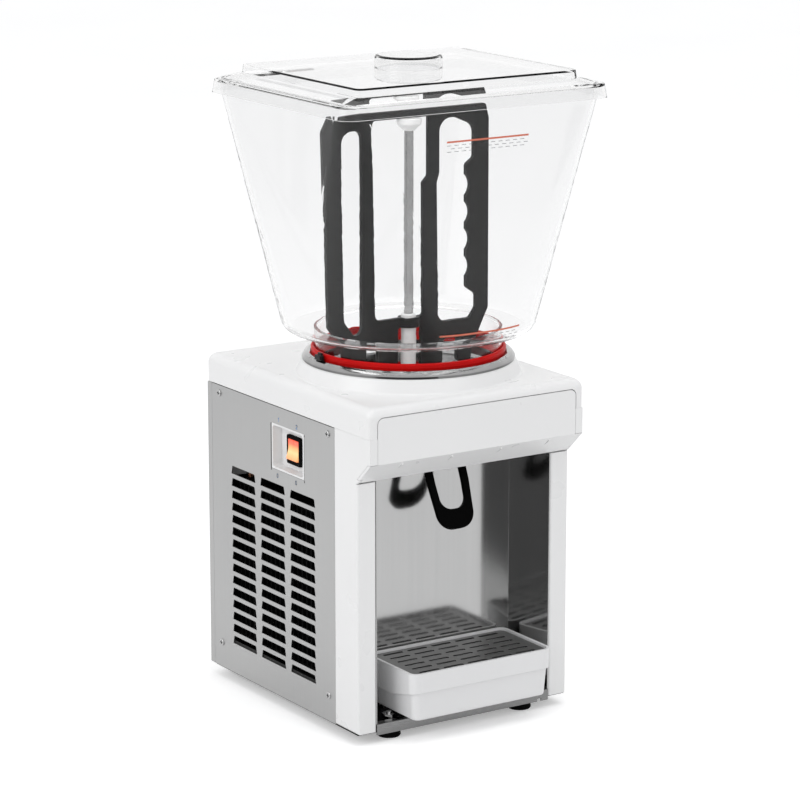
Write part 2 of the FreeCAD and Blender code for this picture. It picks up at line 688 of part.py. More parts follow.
# ---- steel cabinet ----
def louvre(y, top):
    """Cutter for one slot of the right-hand panel, slanted ends, rounded upper corners."""
    half = LOUVRE_LENGTH / 2
    low = top - LOUVRE_HEIGHT
    corners = [(y - half, low, 0.4), (y + half, low, 0.4)]
    corners += [(y + half - LOUVRE_SLANT, top, LOUVRE_ROUND)]
    corners += [(y - half + LOUVRE_SLANT, top, LOUVRE_ROUND)]
    x = PANEL_INNER - 1
    return plate(corners, lambda a, b: Vector(x, a, b), Vector(SHEET + 2, 0, 0))


def screw_spots():
    """Side panel screws as (y, z)."""
    return [(y, z) for y in (SCREW_NEAR, SCREW_FAR) for z in (SCREW_LOW, SCREW_HIGH)]


def right_panel():
    """Folded side panel: skin, front and top returns, louvre field, screw holes."""
    front = POST_DEPTH + SEAM
    skin = box(PANEL_INNER, BODY_HALF, front, PANEL_BACK, 0, PANEL_TOP)
    fold = box(PANEL_INNER - FLANGE, PANEL_INNER, front, front + SHEET,
               FOLD_LOW, PANEL_TOP - FOLD_SHORT)
    brim = box(PANEL_INNER - 6, PANEL_INNER, front, PANEL_BACK, PANEL_TOP - SHEET, PANEL_TOP)
    body = fused([skin, fold, brim])
    cutters = []
    for column in range(LOUVRE_COLUMNS):
        y = LOUVRE_MIDDLE + (column - (LOUVRE_COLUMNS - 1) / 2) * LOUVRE_COLUMN_PITCH
        for row in range(LOUVRE_ROWS):
            cutters.append(louvre(y, LOUVRE_TOP - row * LOUVRE_PITCH))
    for y, z in screw_spots():
        r = SCREW_SHANK_RADIUS + SCREW_HOLE_GAP
        cutters.append(rod(r, (PANEL_INNER - 1, y, z), (BODY_HALF + 1, y, z)))
    return body.cut(Part.makeCompound(cutters))


def left_panel():
    """Mirror of the right panel with the cut-out for the switch well."""
    body = mirrored(right_panel())
    hole = box(-BODY_HALF - 1, -PANEL_INNER + 1, WELL_FRONT, WELL_BACK, WELL_LOW, WELL_HIGH)
    return body.cut(hole)


def rear_screw_spots():
    """Rear panel screws as (x, z)."""
    reach = BODY_HALF - REAR_SCREW_INSET
    return [(x, z) for x in (-reach, reach) for z in (SCREW_LOW, SCREW_HIGH - REAR_SCREW_DROP)]


def rear_panel():
    """Tray-shaped back with vents and the mains gland's hole."""
    height = PANEL_TOP
    shell = box(-BODY_HALF, BODY_HALF, PANEL_BACK + SEAM, REAR_FACE, 0, height)
    room = box(-PANEL_INNER, PANEL_INNER, PANEL_BACK, REAR_FACE - SHEET, SHEET, height - SHEET)
    shell = shell.cut(room)
    cutters = []
    half = VENT_LENGTH / 2
    high = VENT_HEIGHT
    y = REAR_FACE - SHEET - 1
    for column in range(VENT_COLUMNS):
        x = (column - (VENT_COLUMNS - 1) / 2) * VENT_COLUMN_PITCH
        for row in range(VENT_ROWS):
            z = VENT_LOW + row * VENT_PITCH
            slot = [(x - half, z, high * 0.48), (x + half, z, high * 0.48)]
            slot += [(x + half, z + high, high * 0.48), (x - half, z + high, high * 0.48)]
            cutters.append(plate(slot, lambda a, b: Vector(a, y, b), Vector(0, SHEET + 2, 0)))
    r = GLAND_RADIUS - 3 + PRESS_GAP
    cutters.append(rod(r, (GLAND_X, REAR_FACE - 3, GLAND_Z), (GLAND_X, REAR_FACE + 1, GLAND_Z)))
    for x, z in rear_screw_spots():
        r = SCREW_SHANK_RADIUS + SCREW_HOLE_GAP
        cutters.append(rod(r, (x, REAR_FACE - 3, z), (x, REAR_FACE + 1, z)))
    return shell.cut(Part.makeCompound(cutters))


def base_pan():
    """Floor of the cabinet with upright sides behind the panels and a rear upstand."""
    half = PANEL_INNER
    floor = box(-half, half, 2, PANEL_BACK, -SHEET, 0)
    side = box(half - SHEET, half, POST_DEPTH + 3, PANEL_BACK, -SHEET, PAN_FLANGE)
    back = box(-half, half, PANEL_BACK - SHEET, PANEL_BACK, -SHEET, PAN_FLANGE)
    body = fused([floor, side, mirrored(side), back])
    holes = []
    for x, y in foot_spots():
        holes.append(disc(STUD_RADIUS + 0.2, -SHEET - 1, 1, x, y))
    for s in (-1, 1):
        for y in (SCREW_NEAR, SCREW_FAR):
            r = SCREW_SHANK_RADIUS + SCREW_HOLE_GAP
            a = (s * (half - SHEET - 1), y, SCREW_LOW)
            b = (s * (half + 1), y, SCREW_LOW)
            holes.append(rod(r, a, b))
    for x, y in compressor_spots():
        holes.append(disc(MOUNT_RADIUS - 4, -SHEET - 1, 1, x, y))
    return body.cut(Part.makeCompound(holes))


def front_bar():
    """Stainless bar across the foot of the cup bay, with a return along its top edge."""
    half = POST_INNER - SEAM
    face = box(-half, half, 0, SHEET, BAR_BOTTOM, BAR_TOP)
    fold = box(-half, half, 0, BAR_DEPTH, BAR_TOP - SHEET, BAR_TOP)
    foot = box(-half, half, SHEET - 0.2, 2, -SHEET, 0)
    slot = box(half - 14, half - 9, -1, SHEET + 3, BAR_BOTTOM - 1, BAR_BOTTOM + 3)
    return fused([face, fold, foot]).cut(slot)


def foot_spots():
    """Feet as (x, y)."""
    return [(s * FOOT_X, y) for s in (-1, 1) for y in (FOOT_FRONT_Y, FOOT_REAR_Y)]


def rubber_feet():
    """Four rubber feet, slightly flared, with a blind bore for the stud."""
    low = -FOOT_HEIGHT
    feet = []
    for x, y in foot_spots():
        r = FOOT_RADIUS
        profile = [(0, low), (r - 1, low), (r, low + 1.5), (r - 1.5, -SHEET), (0, -SHEET)]
        foot = turned(profile, x, y)
        feet.append(foot.cut(disc(STUD_RADIUS + PRESS_GAP, low + 4, 1, x, y)))
    return Part.makeCompound(feet)


def foot_studs():
    """Stud, nut and jam nut of each foot, one solid per foot."""
    studs = []
    top = NUT_HEIGHT + JAM_NUT_HEIGHT
    for x, y in foot_spots():
        stud = disc(STUD_RADIUS, -FOOT_HEIGHT + 4, top + 2, x, y)
        nuts = [hexagon(x, y, 0, NUT_HEIGHT, 0), hexagon(x, y, NUT_HEIGHT, top, 25)]
        studs.append(stud.fuse(nuts).removeSplitter())
    return Part.makeCompound(studs)


def hexagon(x, y, z0, z1, turn):
    """Upright hexagon bar with one corner at the angle turn."""
    points = []
    for i in range(7):
        a = math.radians(60 * i + turn)
        points.append(Vector(x + NUT_RADIUS * math.cos(a), y + NUT_RADIUS * math.sin(a), z0))
    return Part.Face(Part.makePolygon(points)).extrude(Vector(0, 0, z1 - z0))


def deck_plate():
    """Plate under the hood that carries pan foam and gearmotor, with flanged sides."""
    half = PANEL_INNER
    narrow = BODY_HALF - MOULD_WALL
    rear = box(-half, half, POST_DEPTH + 2, PANEL_BACK, DECK_BOTTOM, DECK_TOP)
    front = box(-narrow, narrow, LINTEL_FACE, POST_DEPTH + 3, DECK_BOTTOM, DECK_TOP)
    side = box(half - SHEET, half, POST_DEPTH + 2, PANEL_BACK, DECK_BOTTOM, DECK_TOP + DECK_FLANGE)
    body = fused([rear, front, side, mirrored(side)])
    holes = [disc(COUPLING_RADIUS + 3, DECK_BOTTOM - 1, DECK_TOP + 1)]
    holes.append(disc(OUTLET_RADIUS + 2, DECK_BOTTOM - 1, DECK_TOP + 1, 0, VALVE_Y))
    holes.append(disc(LINE_RADIUS + 3, DECK_BOTTOM - 1, DECK_TOP + 1, SUCTION_X, SUCTION_Y))
    for s in (-1, 1):
        for y in (SCREW_NEAR, SCREW_FAR):
            r = SCREW_SHANK_RADIUS + SCREW_HOLE_GAP
            a = (s * (half - SHEET - 1), y, SCREW_HIGH)
            b = (s * (half + 1), y, SCREW_HIGH)
            holes.append(rod(r, a, b))
    return body.cut(Part.makeCompound(holes))


def panel_screws():
    """Pan-head screws of side and rear panels, as separate solids in one group."""
    screws = []
    for s in (-1, 1):
        for y, z in screw_spots():
            x = s * BODY_HALF
            head = rod(SCREW_HEAD_RADIUS, (x, y, z), (x + s * SCREW_HEAD_HEIGHT, y, z))
            rim = edges_at(head, lambda m, ends: abs(abs(m.x) - BODY_HALF) > 1)
            head = head.makeFillet(SCREW_HEAD_HEIGHT * 0.6, rim)
            shank = rod(SCREW_SHANK_RADIUS, (x - s * SCREW_LENGTH, y, z), (x, y, z))
            screws.append(head.fuse(shank))
    y = REAR_FACE
    for x, z in rear_screw_spots():
        head = rod(SCREW_HEAD_RADIUS, (x, y, z), (x, y + SCREW_HEAD_HEIGHT, z))
        shank = rod(SCREW_SHANK_RADIUS, (x, y - SCREW_LENGTH, z), (x, y, z))
        screws.append(head.fuse(shank))
    return Part.makeCompound(screws)


# ---- hood and cooling pan ----
def hood():
    """White moulded top: rounded shell, raised collar, bosses down to the deck."""
    half = BODY_HALF + HOOD_OVERHANG
    block = box(-half, half, HEAD_FRONT, HOOD_BACK, FRAME_TOP, HOOD_TOP)
    rear = edges_at(block, lambda m, ends: upright(ends) and m.y > 200)
    block = block.makeFillet(HOOD_REAR_ROUND, rear)
    front = edges_at(block, lambda m, ends: upright(ends) and m.y < HEAD_FRONT + 1)
    block = block.makeFillet(HOOD_FRONT_ROUND, front)
    crest = edges_at(block, lambda m, ends: abs(m.z - HOOD_TOP) < 1e-3)
    block = block.makeFillet(HOOD_EDGE, crest)
    wall = MOULD_WALL
    inner = box(-half + wall, half - wall, HEAD_FRONT + wall, HOOD_BACK - wall,
                FRAME_TOP - 1, HOOD_TOP - wall)
    rear = edges_at(inner, lambda m, ends: upright(ends) and m.y > 200)
    inner = inner.makeFillet(HOOD_REAR_ROUND - wall, rear)
    crest = edges_at(inner, lambda m, ends: abs(m.z - HOOD_TOP + wall) < 1e-3)
    inner = inner.makeFillet(HOOD_EDGE - wall, crest)
    shell = block.cut(inner)
    under = HOOD_TOP - wall
    ring = [(COLLAR_BORE, under), (COLLAR_FOOT_RADIUS + 2, under)]
    ring += [(COLLAR_FOOT_RADIUS + 2, HOOD_TOP), (COLLAR_FOOT_RADIUS, HOOD_TOP + 1.6)]
    ring += [(COLLAR_TOP_RADIUS + 0.7, COLLAR_TOP - 1.2), (COLLAR_TOP_RADIUS - 0.5, COLLAR_TOP)]
    ring += [(COLLAR_BORE, COLLAR_TOP)]
    bosses = []
    for x in (-BOSS_X, BOSS_X):
        for y in (BOSS_FRONT_Y, BOSS_REAR_Y):
            bosses.append(disc(BOSS_RADIUS, DECK_TOP, HOOD_TOP - 1, x, y))
    shell = shell.fuse([turned(ring)] + bosses)
    shell = shell.cut(disc(COLLAR_BORE, FRAME_TOP - 1, COLLAR_TOP + 1))
    corners = fascia_upper_outline(NOTCH_GAP, FRAME_TOP - 5)
    notch = plate(corners, lambda a, b: Vector(a, HEAD_FRONT - 1, b),
                  Vector(0, MOULD_WALL + 1.1, 0))
    return shell.cut(notch).removeSplitter()


def cooling_pan():
    """Polished pan: rolled rim on the collar, stepped wall, flat floor with two holes."""
    t = PAN_SHEET
    rim = PAN_RIM_RADIUS
    well = PAN_WELL_RADIUS
    step = PAN_STEP_RADIUS
    crest = PAN_RIM_CREST
    profile = [(rim, COLLAR_TOP), (rim, COLLAR_TOP + 2.2), (rim - 1.0, crest - 3.8)]
    profile += [(rim - 2.8, crest - 1.5), (rim - 5.2, crest - 0.3), (well + 3.2, crest)]
    profile += [(well + 1.2, crest - 0.5), (well, crest - 1.8), (well, PAN_STEP_HEIGHT)]
    profile += [(step, PAN_STEP_HEIGHT), (step, PAN_FLOOR + 3), (step - 3, PAN_FLOOR)]
    profile += [(POST_RADIUS + PRESS_GAP, PAN_FLOOR), (POST_RADIUS + PRESS_GAP, PAN_UNDERSIDE)]
    profile += [(step - 3 + t / 2, PAN_UNDERSIDE), (step + t, PAN_FLOOR + 2.5)]
    profile += [(step + t, PAN_STEP_HEIGHT - t), (well + t, PAN_STEP_HEIGHT - t)]
    profile += [(well + t, crest - 3.2), (rim - 5.6, crest - 1.6), (rim - 3.6, crest - 2.8)]
    profile += [(rim - 2.2, crest - 4.8), (rim - t - 0.2, COLLAR_TOP + 2.0), (rim - t, COLLAR_TOP)]
    body = turned(profile)
    return body.cut(disc(OUTLET_RADIUS + PRESS_GAP, PAN_UNDERSIDE - 1, PAN_FLOOR + 1, 0, VALVE_Y))


def pan_gasket():
    """Silicone ring in the pan's step: ledge under the tank neck and an upper lip."""
    inside = NECK_RADIUS + LOOSE
    seat = PAN_STEP_RADIUS + 0.5
    well = PAN_WELL_RADIUS
    crest = PAN_RIM_CREST
    profile = [(seat, PAN_STEP_HEIGHT), (well, PAN_STEP_HEIGHT), (well, crest + 0.4)]
    profile += [(GASKET_LIP_RADIUS, crest + 1.6), (GASKET_LIP_RADIUS, GASKET_TOP - 1.6)]
    profile += [(GASKET_LIP_RADIUS - 1.2, GASKET_TOP), (inside + 0.6, GASKET_TOP)]
    profile += [(inside, GASKET_TOP - 1.0), (inside, NECK_BOTTOM), (seat, NECK_BOTTOM)]
    return turned(profile)


def locating_clip():
    """Small clip over the pan's rim that locates the tank."""
    r0 = PAN_WELL_RADIUS + 3.4
    r1 = PAN_RIM_RADIUS - 3.0
    crest = PAN_RIM_CREST
    half = CLIP_HALF
    high = crest + CLIP_HEIGHT
    block = box(r0 - 1.0, r1, -half, half, crest, high)
    arm = box(r0 - 1.0, r0 + 1.0, -half + 2.0, half - 2.0, high - 1.0, high + 2.5)
    body = block.fuse(arm).removeSplitter()
    body.rotate(Vector(0, 0, 0), Vector(0, 0, 1), CLIP_ANGLE)
    body.translate(Vector(0, AXIS_Y, 0))
    return body


def pan_insulation():
    """Foam disc between deck and evaporator."""
    body = disc(COLLAR_BORE - 8, DECK_TOP, FOAM_TOP)
    holes = [disc(COUPLING_RADIUS + 3, DECK_TOP - 1, FOAM_TOP + 1)]
    holes.append(disc(OUTLET_RADIUS + 2, DECK_TOP - 1, FOAM_TOP + 1, 0, VALVE_Y))
    holes.append(disc(LINE_RADIUS + 2, DECK_TOP - 1, FOAM_TOP + 1, SUCTION_X, SUCTION_Y))
    return body.cut(Part.makeCompound(holes))


def evaporator_coil():
    """Flat copper spiral against the pan's floor, built of half circles."""
    edges = []
    radius = COIL_START
    side = 1
    centre_x = 0.0
    z = PAN_UNDERSIDE - COIL_TUBE
    grow = COIL_GROW
    for i in range(COIL_TURNS):
        c = Vector(centre_x, AXIS_Y, z)
        a = c + Vector(side * radius, 0, 0)
        m = c + Vector(0, side * radius, 0)
        b = c - Vector(side * radius, 0, 0)
        edges.append(Part.Arc(a, m, b).toShape())
        centre_x += side * grow
        radius += grow
        side = -side
    first = edges[0].valueAt(edges[0].FirstParameter)
    ring = Part.Wire([Part.Circle(first, Vector(0, 1, 0), COIL_TUBE).toShape()])
    return Part.Wire(edges).makePipeShell([ring], True, False)


def outlet_tube():
    """Tube from the pan's floor down into the valve."""
    low = DECK_BOTTOM - OUTLET_SEAT
    tube = disc(OUTLET_RADIUS, low, PAN_FLOOR, 0, VALVE_Y)
    return tube.cut(disc(OUTLET_RADIUS - OUTLET_WALL, low - 1, PAN_FLOOR + 1, 0, VALVE_Y))


# ---- drive and stirrer ----
def drive_post():
    """White guide post through the pan's floor, flanged at its foot."""
    r = POST_RADIUS
    bore = ROD_RADIUS + RUNNING
    low = FOAM_TOP + 1
    profile = [(bore, low), (r, low), (r, PAN_FLOOR), (HUB_RADIUS, PAN_FLOOR)]
    profile += [(HUB_RADIUS, PAN_FLOOR + 1.8), (r + 0.6, PAN_FLOOR + 3), (r, PAN_FLOOR + 4)]
    profile += [(r, POST_TOP - 1), (r - 1, POST_TOP), (bore, POST_TOP)]
    return turned(profile)


def stirrer_motor():
    """Gearbox and motor hung under the deck on the stirrer's axis."""
    box_part = disc(GEARBOX_RADIUS, GEARBOX_BOTTOM, DECK_BOTTOM)
    rim = edges_at(box_part, lambda m, ends: abs(m.z - GEARBOX_BOTTOM) < 1e-3)
    box_part = box_part.makeFillet(3.0, rim)
    motor = disc(MOTOR_RADIUS, MOTOR_BOTTOM, GEARBOX_BOTTOM + 1)
    rim = edges_at(motor, lambda m, ends: abs(m.z - MOTOR_BOTTOM) < 1e-3)
    motor = motor.makeFillet(4.0, rim)
    fins = []
    step = 360.0 / MOTOR_FINS
    for i in range(MOTOR_FINS):
        fin = box(MOTOR_RADIUS - 1, MOTOR_RADIUS + 2, -1, 1, MOTOR_BOTTOM + 6, GEARBOX_BOTTOM)
        fin.rotate(Vector(0, 0, 0), Vector(0, 0, 1), step * (i + 0.5))
        fin.translate(Vector(0, AXIS_Y, 0))
        fins.append(fin)
    body = fused([box_part, motor] + fins)
    low = SOCKET_FLOOR - 6
    body = body.cut(disc(COUPLING_RADIUS + 1, low - 0.5, DECK_BOTTOM + 1))
    return body.cut(disc(OUTPUT_SHAFT + RUNNING, low - 18.5, low + 1))


def square(half, z0, z1):
    """Square bar on the stirrer's axis."""
    return box(-half, half, AXIS_Y - half, AXIS_Y + half, z0, z1)


def drive_coupling():
    """Dog of the gearbox output: shaft and round sleeve with a square socket for the rod."""
    low = SOCKET_FLOOR - 6
    high = FOAM_TOP - 6
    sleeve = disc(COUPLING_RADIUS, low, high)
    shaft = disc(OUTPUT_SHAFT, low - 18, low + 1)
    return fused([sleeve, shaft]).cut(square(SQUARE_HALF + SQUARE_GAP, SOCKET_FLOOR, high + 1))


def drive_rod():
    """Stirrer rod with a squared lower end."""
    foot = FOAM_TOP + 1
    low = SOCKET_FLOOR
    bar = disc(ROD_RADIUS, foot, CAP_TOP - CAP_HEIGHT + 6)
    return fused([bar, square(SQUARE_HALF, low, foot + 1)])


def rod_cap():
    """White cap that joins the rod to the stirrer's top bar."""
    low = CAP_TOP - CAP_HEIGHT
    bore = ROD_RADIUS + PRESS_GAP
    profile = [(bore, low), (ROD_RADIUS + 1.6, low), (CAP_RADIUS - 1, low + 6)]
    profile += [(CAP_RADIUS, low + 7.2), (CAP_RADIUS, CAP_TOP - 1), (CAP_RADIUS - 1, CAP_TOP)]
    profile += [(0, CAP_TOP), (0, low + 6), (bore, low + 6)]
    return turned(profile)


def paddle_silhouette():
    """Outer outline of the stirrer, wings, shoulders, feet and the arch over the post."""
    wing = PADDLE_WING
    foot = PADDLE_FOOT
    top = PADDLE_TOP
    bore = PADDLE_BORE
    sole = PADDLE_SHOULDER - WING_FALL
    notch = PAN_FLOOR + 35
    arch = HUB_RADIUS + 3
    corners = [(-wing + 6, top, 3), (-wing - 3, top - 16.5, 8)]
    corners += [(-wing + WING_FLARE, PADDLE_SHOULDER + 2, 6)]
    corners += [(-bore + 1.6, sole + 4, 3), (-bore + 8.8, sole - 3, 3)]
    corners += [(-bore + 12.8, sole - 6.5, 2), (-bore + 14.8, foot, 3)]
    corners += [(-53.5, foot, 3), (-53, notch, 5), (-39, notch, 5), (-38.5, foot, 3)]
    corners += [(-arch, foot, 2), (-arch, HUB_BOTTOM, 3), (arch, HUB_BOTTOM, 3), (arch, foot, 2)]
    corners += [(40.7, foot, 3), (41.5, notch - 6, 5), (59.5, notch - 6, 5), (59.5, foot, 3)]
    corners += [(bore - 17.8, foot, 3), (bore - 16.3, PAN_FLOOR + 17, 3)]
    corners += [(bore - 5.6, sole - 4.5, 4), (wing - 3.2, PADDLE_SHOULDER + 3, 6)]
    corners += [(wing - 3.4, top - 16.5, 8), (wing - 8, top, 3)]
    return corners


def stirrer_paddle():
    """Flat two-wing stirrer with three windows, a finger grip and a hub round the post."""
    y = AXIS_Y - PADDLE_THICKNESS / 2
    depth = Vector(0, PADDLE_THICKNESS, 0)

    def place(a, b):
        return Vector(a, y, b)

    body = plate(paddle_silhouette(), place, depth)
    wing = PADDLE_WING
    top = PADDLE_TOP
    low = PADDLE_SHOULDER
    left = [(-wing + 16.4, top - 18, 13), (-wing + 21, low + 6.5, 5), (-wing + 32.5, low - 9, 4)]
    left += [(-wing + 42.6, low - 9, 7), (-wing + 42.6, top - 18, 9)]
    middle = [(-wing + 54.8, CAP_TOP, 4), (-wing + 58.5, HUB_TOP, 7), (16.9, HUB_TOP, 3)]
    middle += [(16.2, top - 78, 3), (22.6, top - 71.5, 3), (22.6, CAP_TOP, 2)]
    right = [(36, top - 13, 14), (36, top - 69.5, 3), (32.8, top - 79.5, 3), (35, low - 6.2, 9)]
    right += [(wing - 26, low - 6.2, 4), (wing - 18.5, low + 4, 6), (wing - 18.5, low + 18.5, 5)]
    right += [(wing - 30.7, low + 27, 5), (wing - 31.4, top - 63.5, 5)]
    right += [(wing - 21.8, top - 57, 5), (wing - 21.8, top - 23, 12), (wing - 46, top - 13, 10)]
    tools = [plate(w, place, depth) for w in (left, middle, right)]
    radius = (GRIP_CHORD * GRIP_CHORD / 4 + GRIP_DEPTH * GRIP_DEPTH) / (2 * GRIP_DEPTH)
    centre = (low + 27 + top - 63.5) / 2
    for i in range(GRIP_FINGERS):
        z = centre + (i - (GRIP_FINGERS - 1) / 2) * GRIP_PITCH
        x = wing - 31 + GRIP_DEPTH - radius
        tools.append(rod(radius, (x, y, z), (x, y + PADDLE_THICKNESS, z)))
    body = body.cut(tools[0].fuse(tools[1:]))
    hub = disc(HUB_RADIUS, HUB_BOTTOM, HUB_TOP)
    body = body.fuse(hub)
    return body.cut(disc(POST_RADIUS + LOOSE, HUB_BOTTOM - 1, HUB_TOP + 1)).removeSplitter()


# ---- tank and lid ----
def bowl(inset):
    """Body between the round bottom and the rim, inset from the outside, its foot rounded."""
    half = BOWL_HALF - inset
    floor = TANK_FLOOR + inset
    low = (half, half, half - BOWL_FLAT, floor)
    high = (TANK_HALF_X - inset, TANK_HALF_Y - inset, TANK_CORNER - inset, TANK_RIM_FOOT)
    body = taper(low, high)
    foot = edges_at(body, lambda m, ends: abs(m.z - floor) < 1e-3)
    return body.makeFillet(BOWL_EDGE - inset, foot)


def tank():
    """Clear tank: straight rim, walls that run from a square top to a round bottom, neck."""
    wall = TANK_WALL
    rim = (TANK_HALF_X, TANK_HALF_Y, TANK_CORNER, TANK_RIM_FOOT)
    rim_top = (TANK_HALF_X, TANK_HALF_Y, TANK_CORNER, TANK_TOP)
    neck = disc(NECK_RADIUS, NECK_BOTTOM, TANK_FLOOR + 1)
    body = fused([taper(rim, rim_top), bowl(0.0), neck])
    rim_in = (rim[0] - wall, rim[1] - wall, rim[2] - wall, TANK_RIM_FOOT)
    over = (rim[0] - wall, rim[1] - wall, rim[2] - wall, TANK_TOP + 1)
    bore = disc(PADDLE_BORE, NECK_BOTTOM - 1, TANK_FLOOR + wall + 0.5)
    return body.cut(taper(rim_in, over).fuse([bowl(wall), bore]))


def lid():
    """Clear lid in one moulding: hanging skirt, sloped brim, plateau and round boss."""
    skirt_x = TANK_HALF_X + LID_GAP
    skirt_y = TANK_HALF_Y + LID_GAP
    wall = LID_WALL
    low = TANK_TOP - LID_SKIRT
    brim = TANK_TOP + LID_BRIM
    flare = LID_FLARE
    corner = TANK_CORNER - 8
    outer = [taper((skirt_x + wall + flare, skirt_y + wall + flare, corner, low),
                   (skirt_x + wall, skirt_y + wall, corner, brim))]
    outer.append(taper((skirt_x + wall, skirt_y + wall, corner, brim),
                       (PLATEAU_HALF_X + 2, PLATEAU_HALF_Y + 2, 10, PLATEAU_FOOT)))
    outer.append(taper((PLATEAU_HALF_X, PLATEAU_HALF_Y, 8, PLATEAU_FOOT - 1),
                       (PLATEAU_HALF_X - 1, PLATEAU_HALF_Y - 1, 8, PLATEAU_TOP)))
    knob = [(0, PLATEAU_TOP - 1), (KNOB_RADIUS, PLATEAU_TOP - 1), (KNOB_RADIUS, KNOB_TOP - 3)]
    knob += [(KNOB_RADIUS - 1.2, KNOB_TOP - 0.9), (KNOB_RADIUS - 3.5, KNOB_TOP), (0, KNOB_TOP)]
    body = fused(outer + [turned(knob)])
    inner = [taper((skirt_x + flare, skirt_y + flare, corner - wall, low - 0.5),
                   (skirt_x, skirt_y, corner - wall, TANK_TOP))]
    inner.append(taper((TANK_HALF_X - TANK_WALL - 3, TANK_HALF_Y - TANK_WALL - 3, 10, TANK_TOP - 1),
                       (PLATEAU_HALF_X - 1, PLATEAU_HALF_Y - 1, 6, PLATEAU_FOOT - wall)))
    inner.append(taper((PLATEAU_HALF_X - wall, PLATEAU_HALF_Y - wall, 6, PLATEAU_FOOT - wall - 1),
                       (PLATEAU_HALF_X - wall - 1, PLATEAU_HALF_Y - wall - 1, 6,
                        PLATEAU_TOP - wall)))
    inner.append(disc(KNOB_RADIUS - wall, PLATEAU_TOP - wall - 1, KNOB_TOP - wall))
    return body.cut(inner[0].fuse(inner[1:]))


# ---- cup bay ----
def recess_liner():
    """Stainless back and splayed sides of the cup bay, with a pierced ceiling."""
    t = LINER_SHEET
    mouth = POST_INNER - t
    back = BAY_BACK_HALF
    top = LIP_HEIGHT - SLIT
    plan = [(mouth, 0.8), (back, BAY_BACK), (-back, BAY_BACK), (-mouth, 0.8)]
    plan += [(-mouth - t, 0.8), (-back - t, BAY_BACK + t), (back + t, BAY_BACK + t)]
    plan += [(mouth + t, 0.8)]
    wire = Part.makePolygon([Vector(x, y, 0) for x, y in plan + plan[:1]])
    walls = Part.Face(wire).extrude(Vector(0, 0, top))
    front = LINTEL_FACE + MOULD_WALL
    lean = (mouth - back) / (BAY_BACK - 0.8)
    near = mouth - lean * (front - 0.8)
    roof = [(near, front), (back, BAY_BACK), (-back, BAY_BACK), (-near, front)]
    wire = Part.makePolygon([Vector(x, y, top - t) for x, y in roof + roof[:1]])
    ceiling = Part.Face(wire).extrude(Vector(0, 0, t))
    cut = box(-BAY_CUT_HALF, BAY_CUT_HALF, BAY_CUT_FRONT, BAY_CUT_BACK, top - t - 1, top + 1)
    notch = box(-BODY_HALF, BODY_HALF, -1, BAR_DEPTH + SEAM, -1, BAR_TOP + SEAM)
    return fused([walls, ceiling]).cut(cut.fuse(notch))


def tray_rails():
    """Two folded rails that carry the drip tray over the front bar."""
    outer = -TRAY_BODY_HALF + RAIL_INSET
    web = outer + RAIL_WIDTH
    inner = web + RAIL_WIDTH
    rail = [(inner, 0), (inner, SHEET), (web, SHEET), (web, TRAY_BOTTOM), (outer, TRAY_BOTTOM)]
    rail += [(outer, TRAY_BOTTOM - SHEET), (web - SHEET, TRAY_BOTTOM - SHEET), (web - SHEET, 0)]
    front = BAR_DEPTH + 3
    wire = Part.makePolygon([Vector(x, front, z) for x, z in rail + rail[:1]])
    body = Part.Face(wire).extrude(Vector(0, TRAY_BACK - 2 - front, 0))
    return Part.makeCompound([body, mirrored(body)])


def tray_middle():
    """Middle of the tray in y."""
    return (TRAY_FRONT + TRAY_BACK) / 2


def in_tray_place(body):
    """Move a piece made on the middle plane to the tray's place across the bay."""
    body.translate(Vector(TRAY_SHIFT, 0, 0))
    return body


def drip_tray():
    """White tray: wide rim over a slanted step, drafted body, pocket for the grille."""
    mid = tray_middle()
    deep = (TRAY_BACK - TRAY_FRONT) / 2
    shy = TRAY_STEP
    floor = TRAY_BOTTOM
    upper = taper((TRAY_HALF - 0.6, deep - 0.6, TRAY_CORNER, TRAY_STEP_BACK),
                  (TRAY_HALF, deep, TRAY_CORNER, TRAY_TOP), y=mid)
    slant = [(TRAY_FRONT - 2, TRAY_STEP_BACK - 3), (TRAY_FRONT - 2, TRAY_STEP_FRONT)]
    run = TRAY_FRONT + TRAY_STEP_RUN
    slant += [(TRAY_FRONT + 3, TRAY_STEP_FRONT), (run, TRAY_STEP_BACK)]
    slant += [(run, TRAY_STEP_BACK - 3)]
    upper = upper.cut(section_x(slant, -TRAY_HALF - 2, TRAY_HALF + 2))
    lower = taper((TRAY_BODY_HALF - 3, deep - shy - 2, TRAY_CORNER - 2, floor),
                  (TRAY_BODY_HALF, deep - shy * 0.6, TRAY_CORNER - 2, TRAY_TOP - 2), y=mid)
    sill = edges_at(lower, lambda m, ends: abs(m.z - floor) < 1e-3)
    lower = lower.makeFillet(2.5, sill)
    wall = TRAY_WALL
    ledge = TRAY_TOP - GRILLE_DROP - GRILLE_EDGE
    pocket = taper((TRAY_HALF - wall, deep - wall, TRAY_CORNER - wall, ledge),
                   (TRAY_HALF - wall, deep - wall, TRAY_CORNER - wall, TRAY_TOP + 1), y=mid)
    seat = wall + GRILLE_SEAT
    cavity = taper((TRAY_BODY_HALF - 3 - wall, deep - shy - 2 - wall, TRAY_CORNER - 4, floor + wall),
                   (TRAY_HALF - seat, deep - seat, TRAY_CORNER - 4, ledge + 1), y=mid)
    return in_tray_place(fused([upper, lower]).cut(pocket.fuse(cavity)))


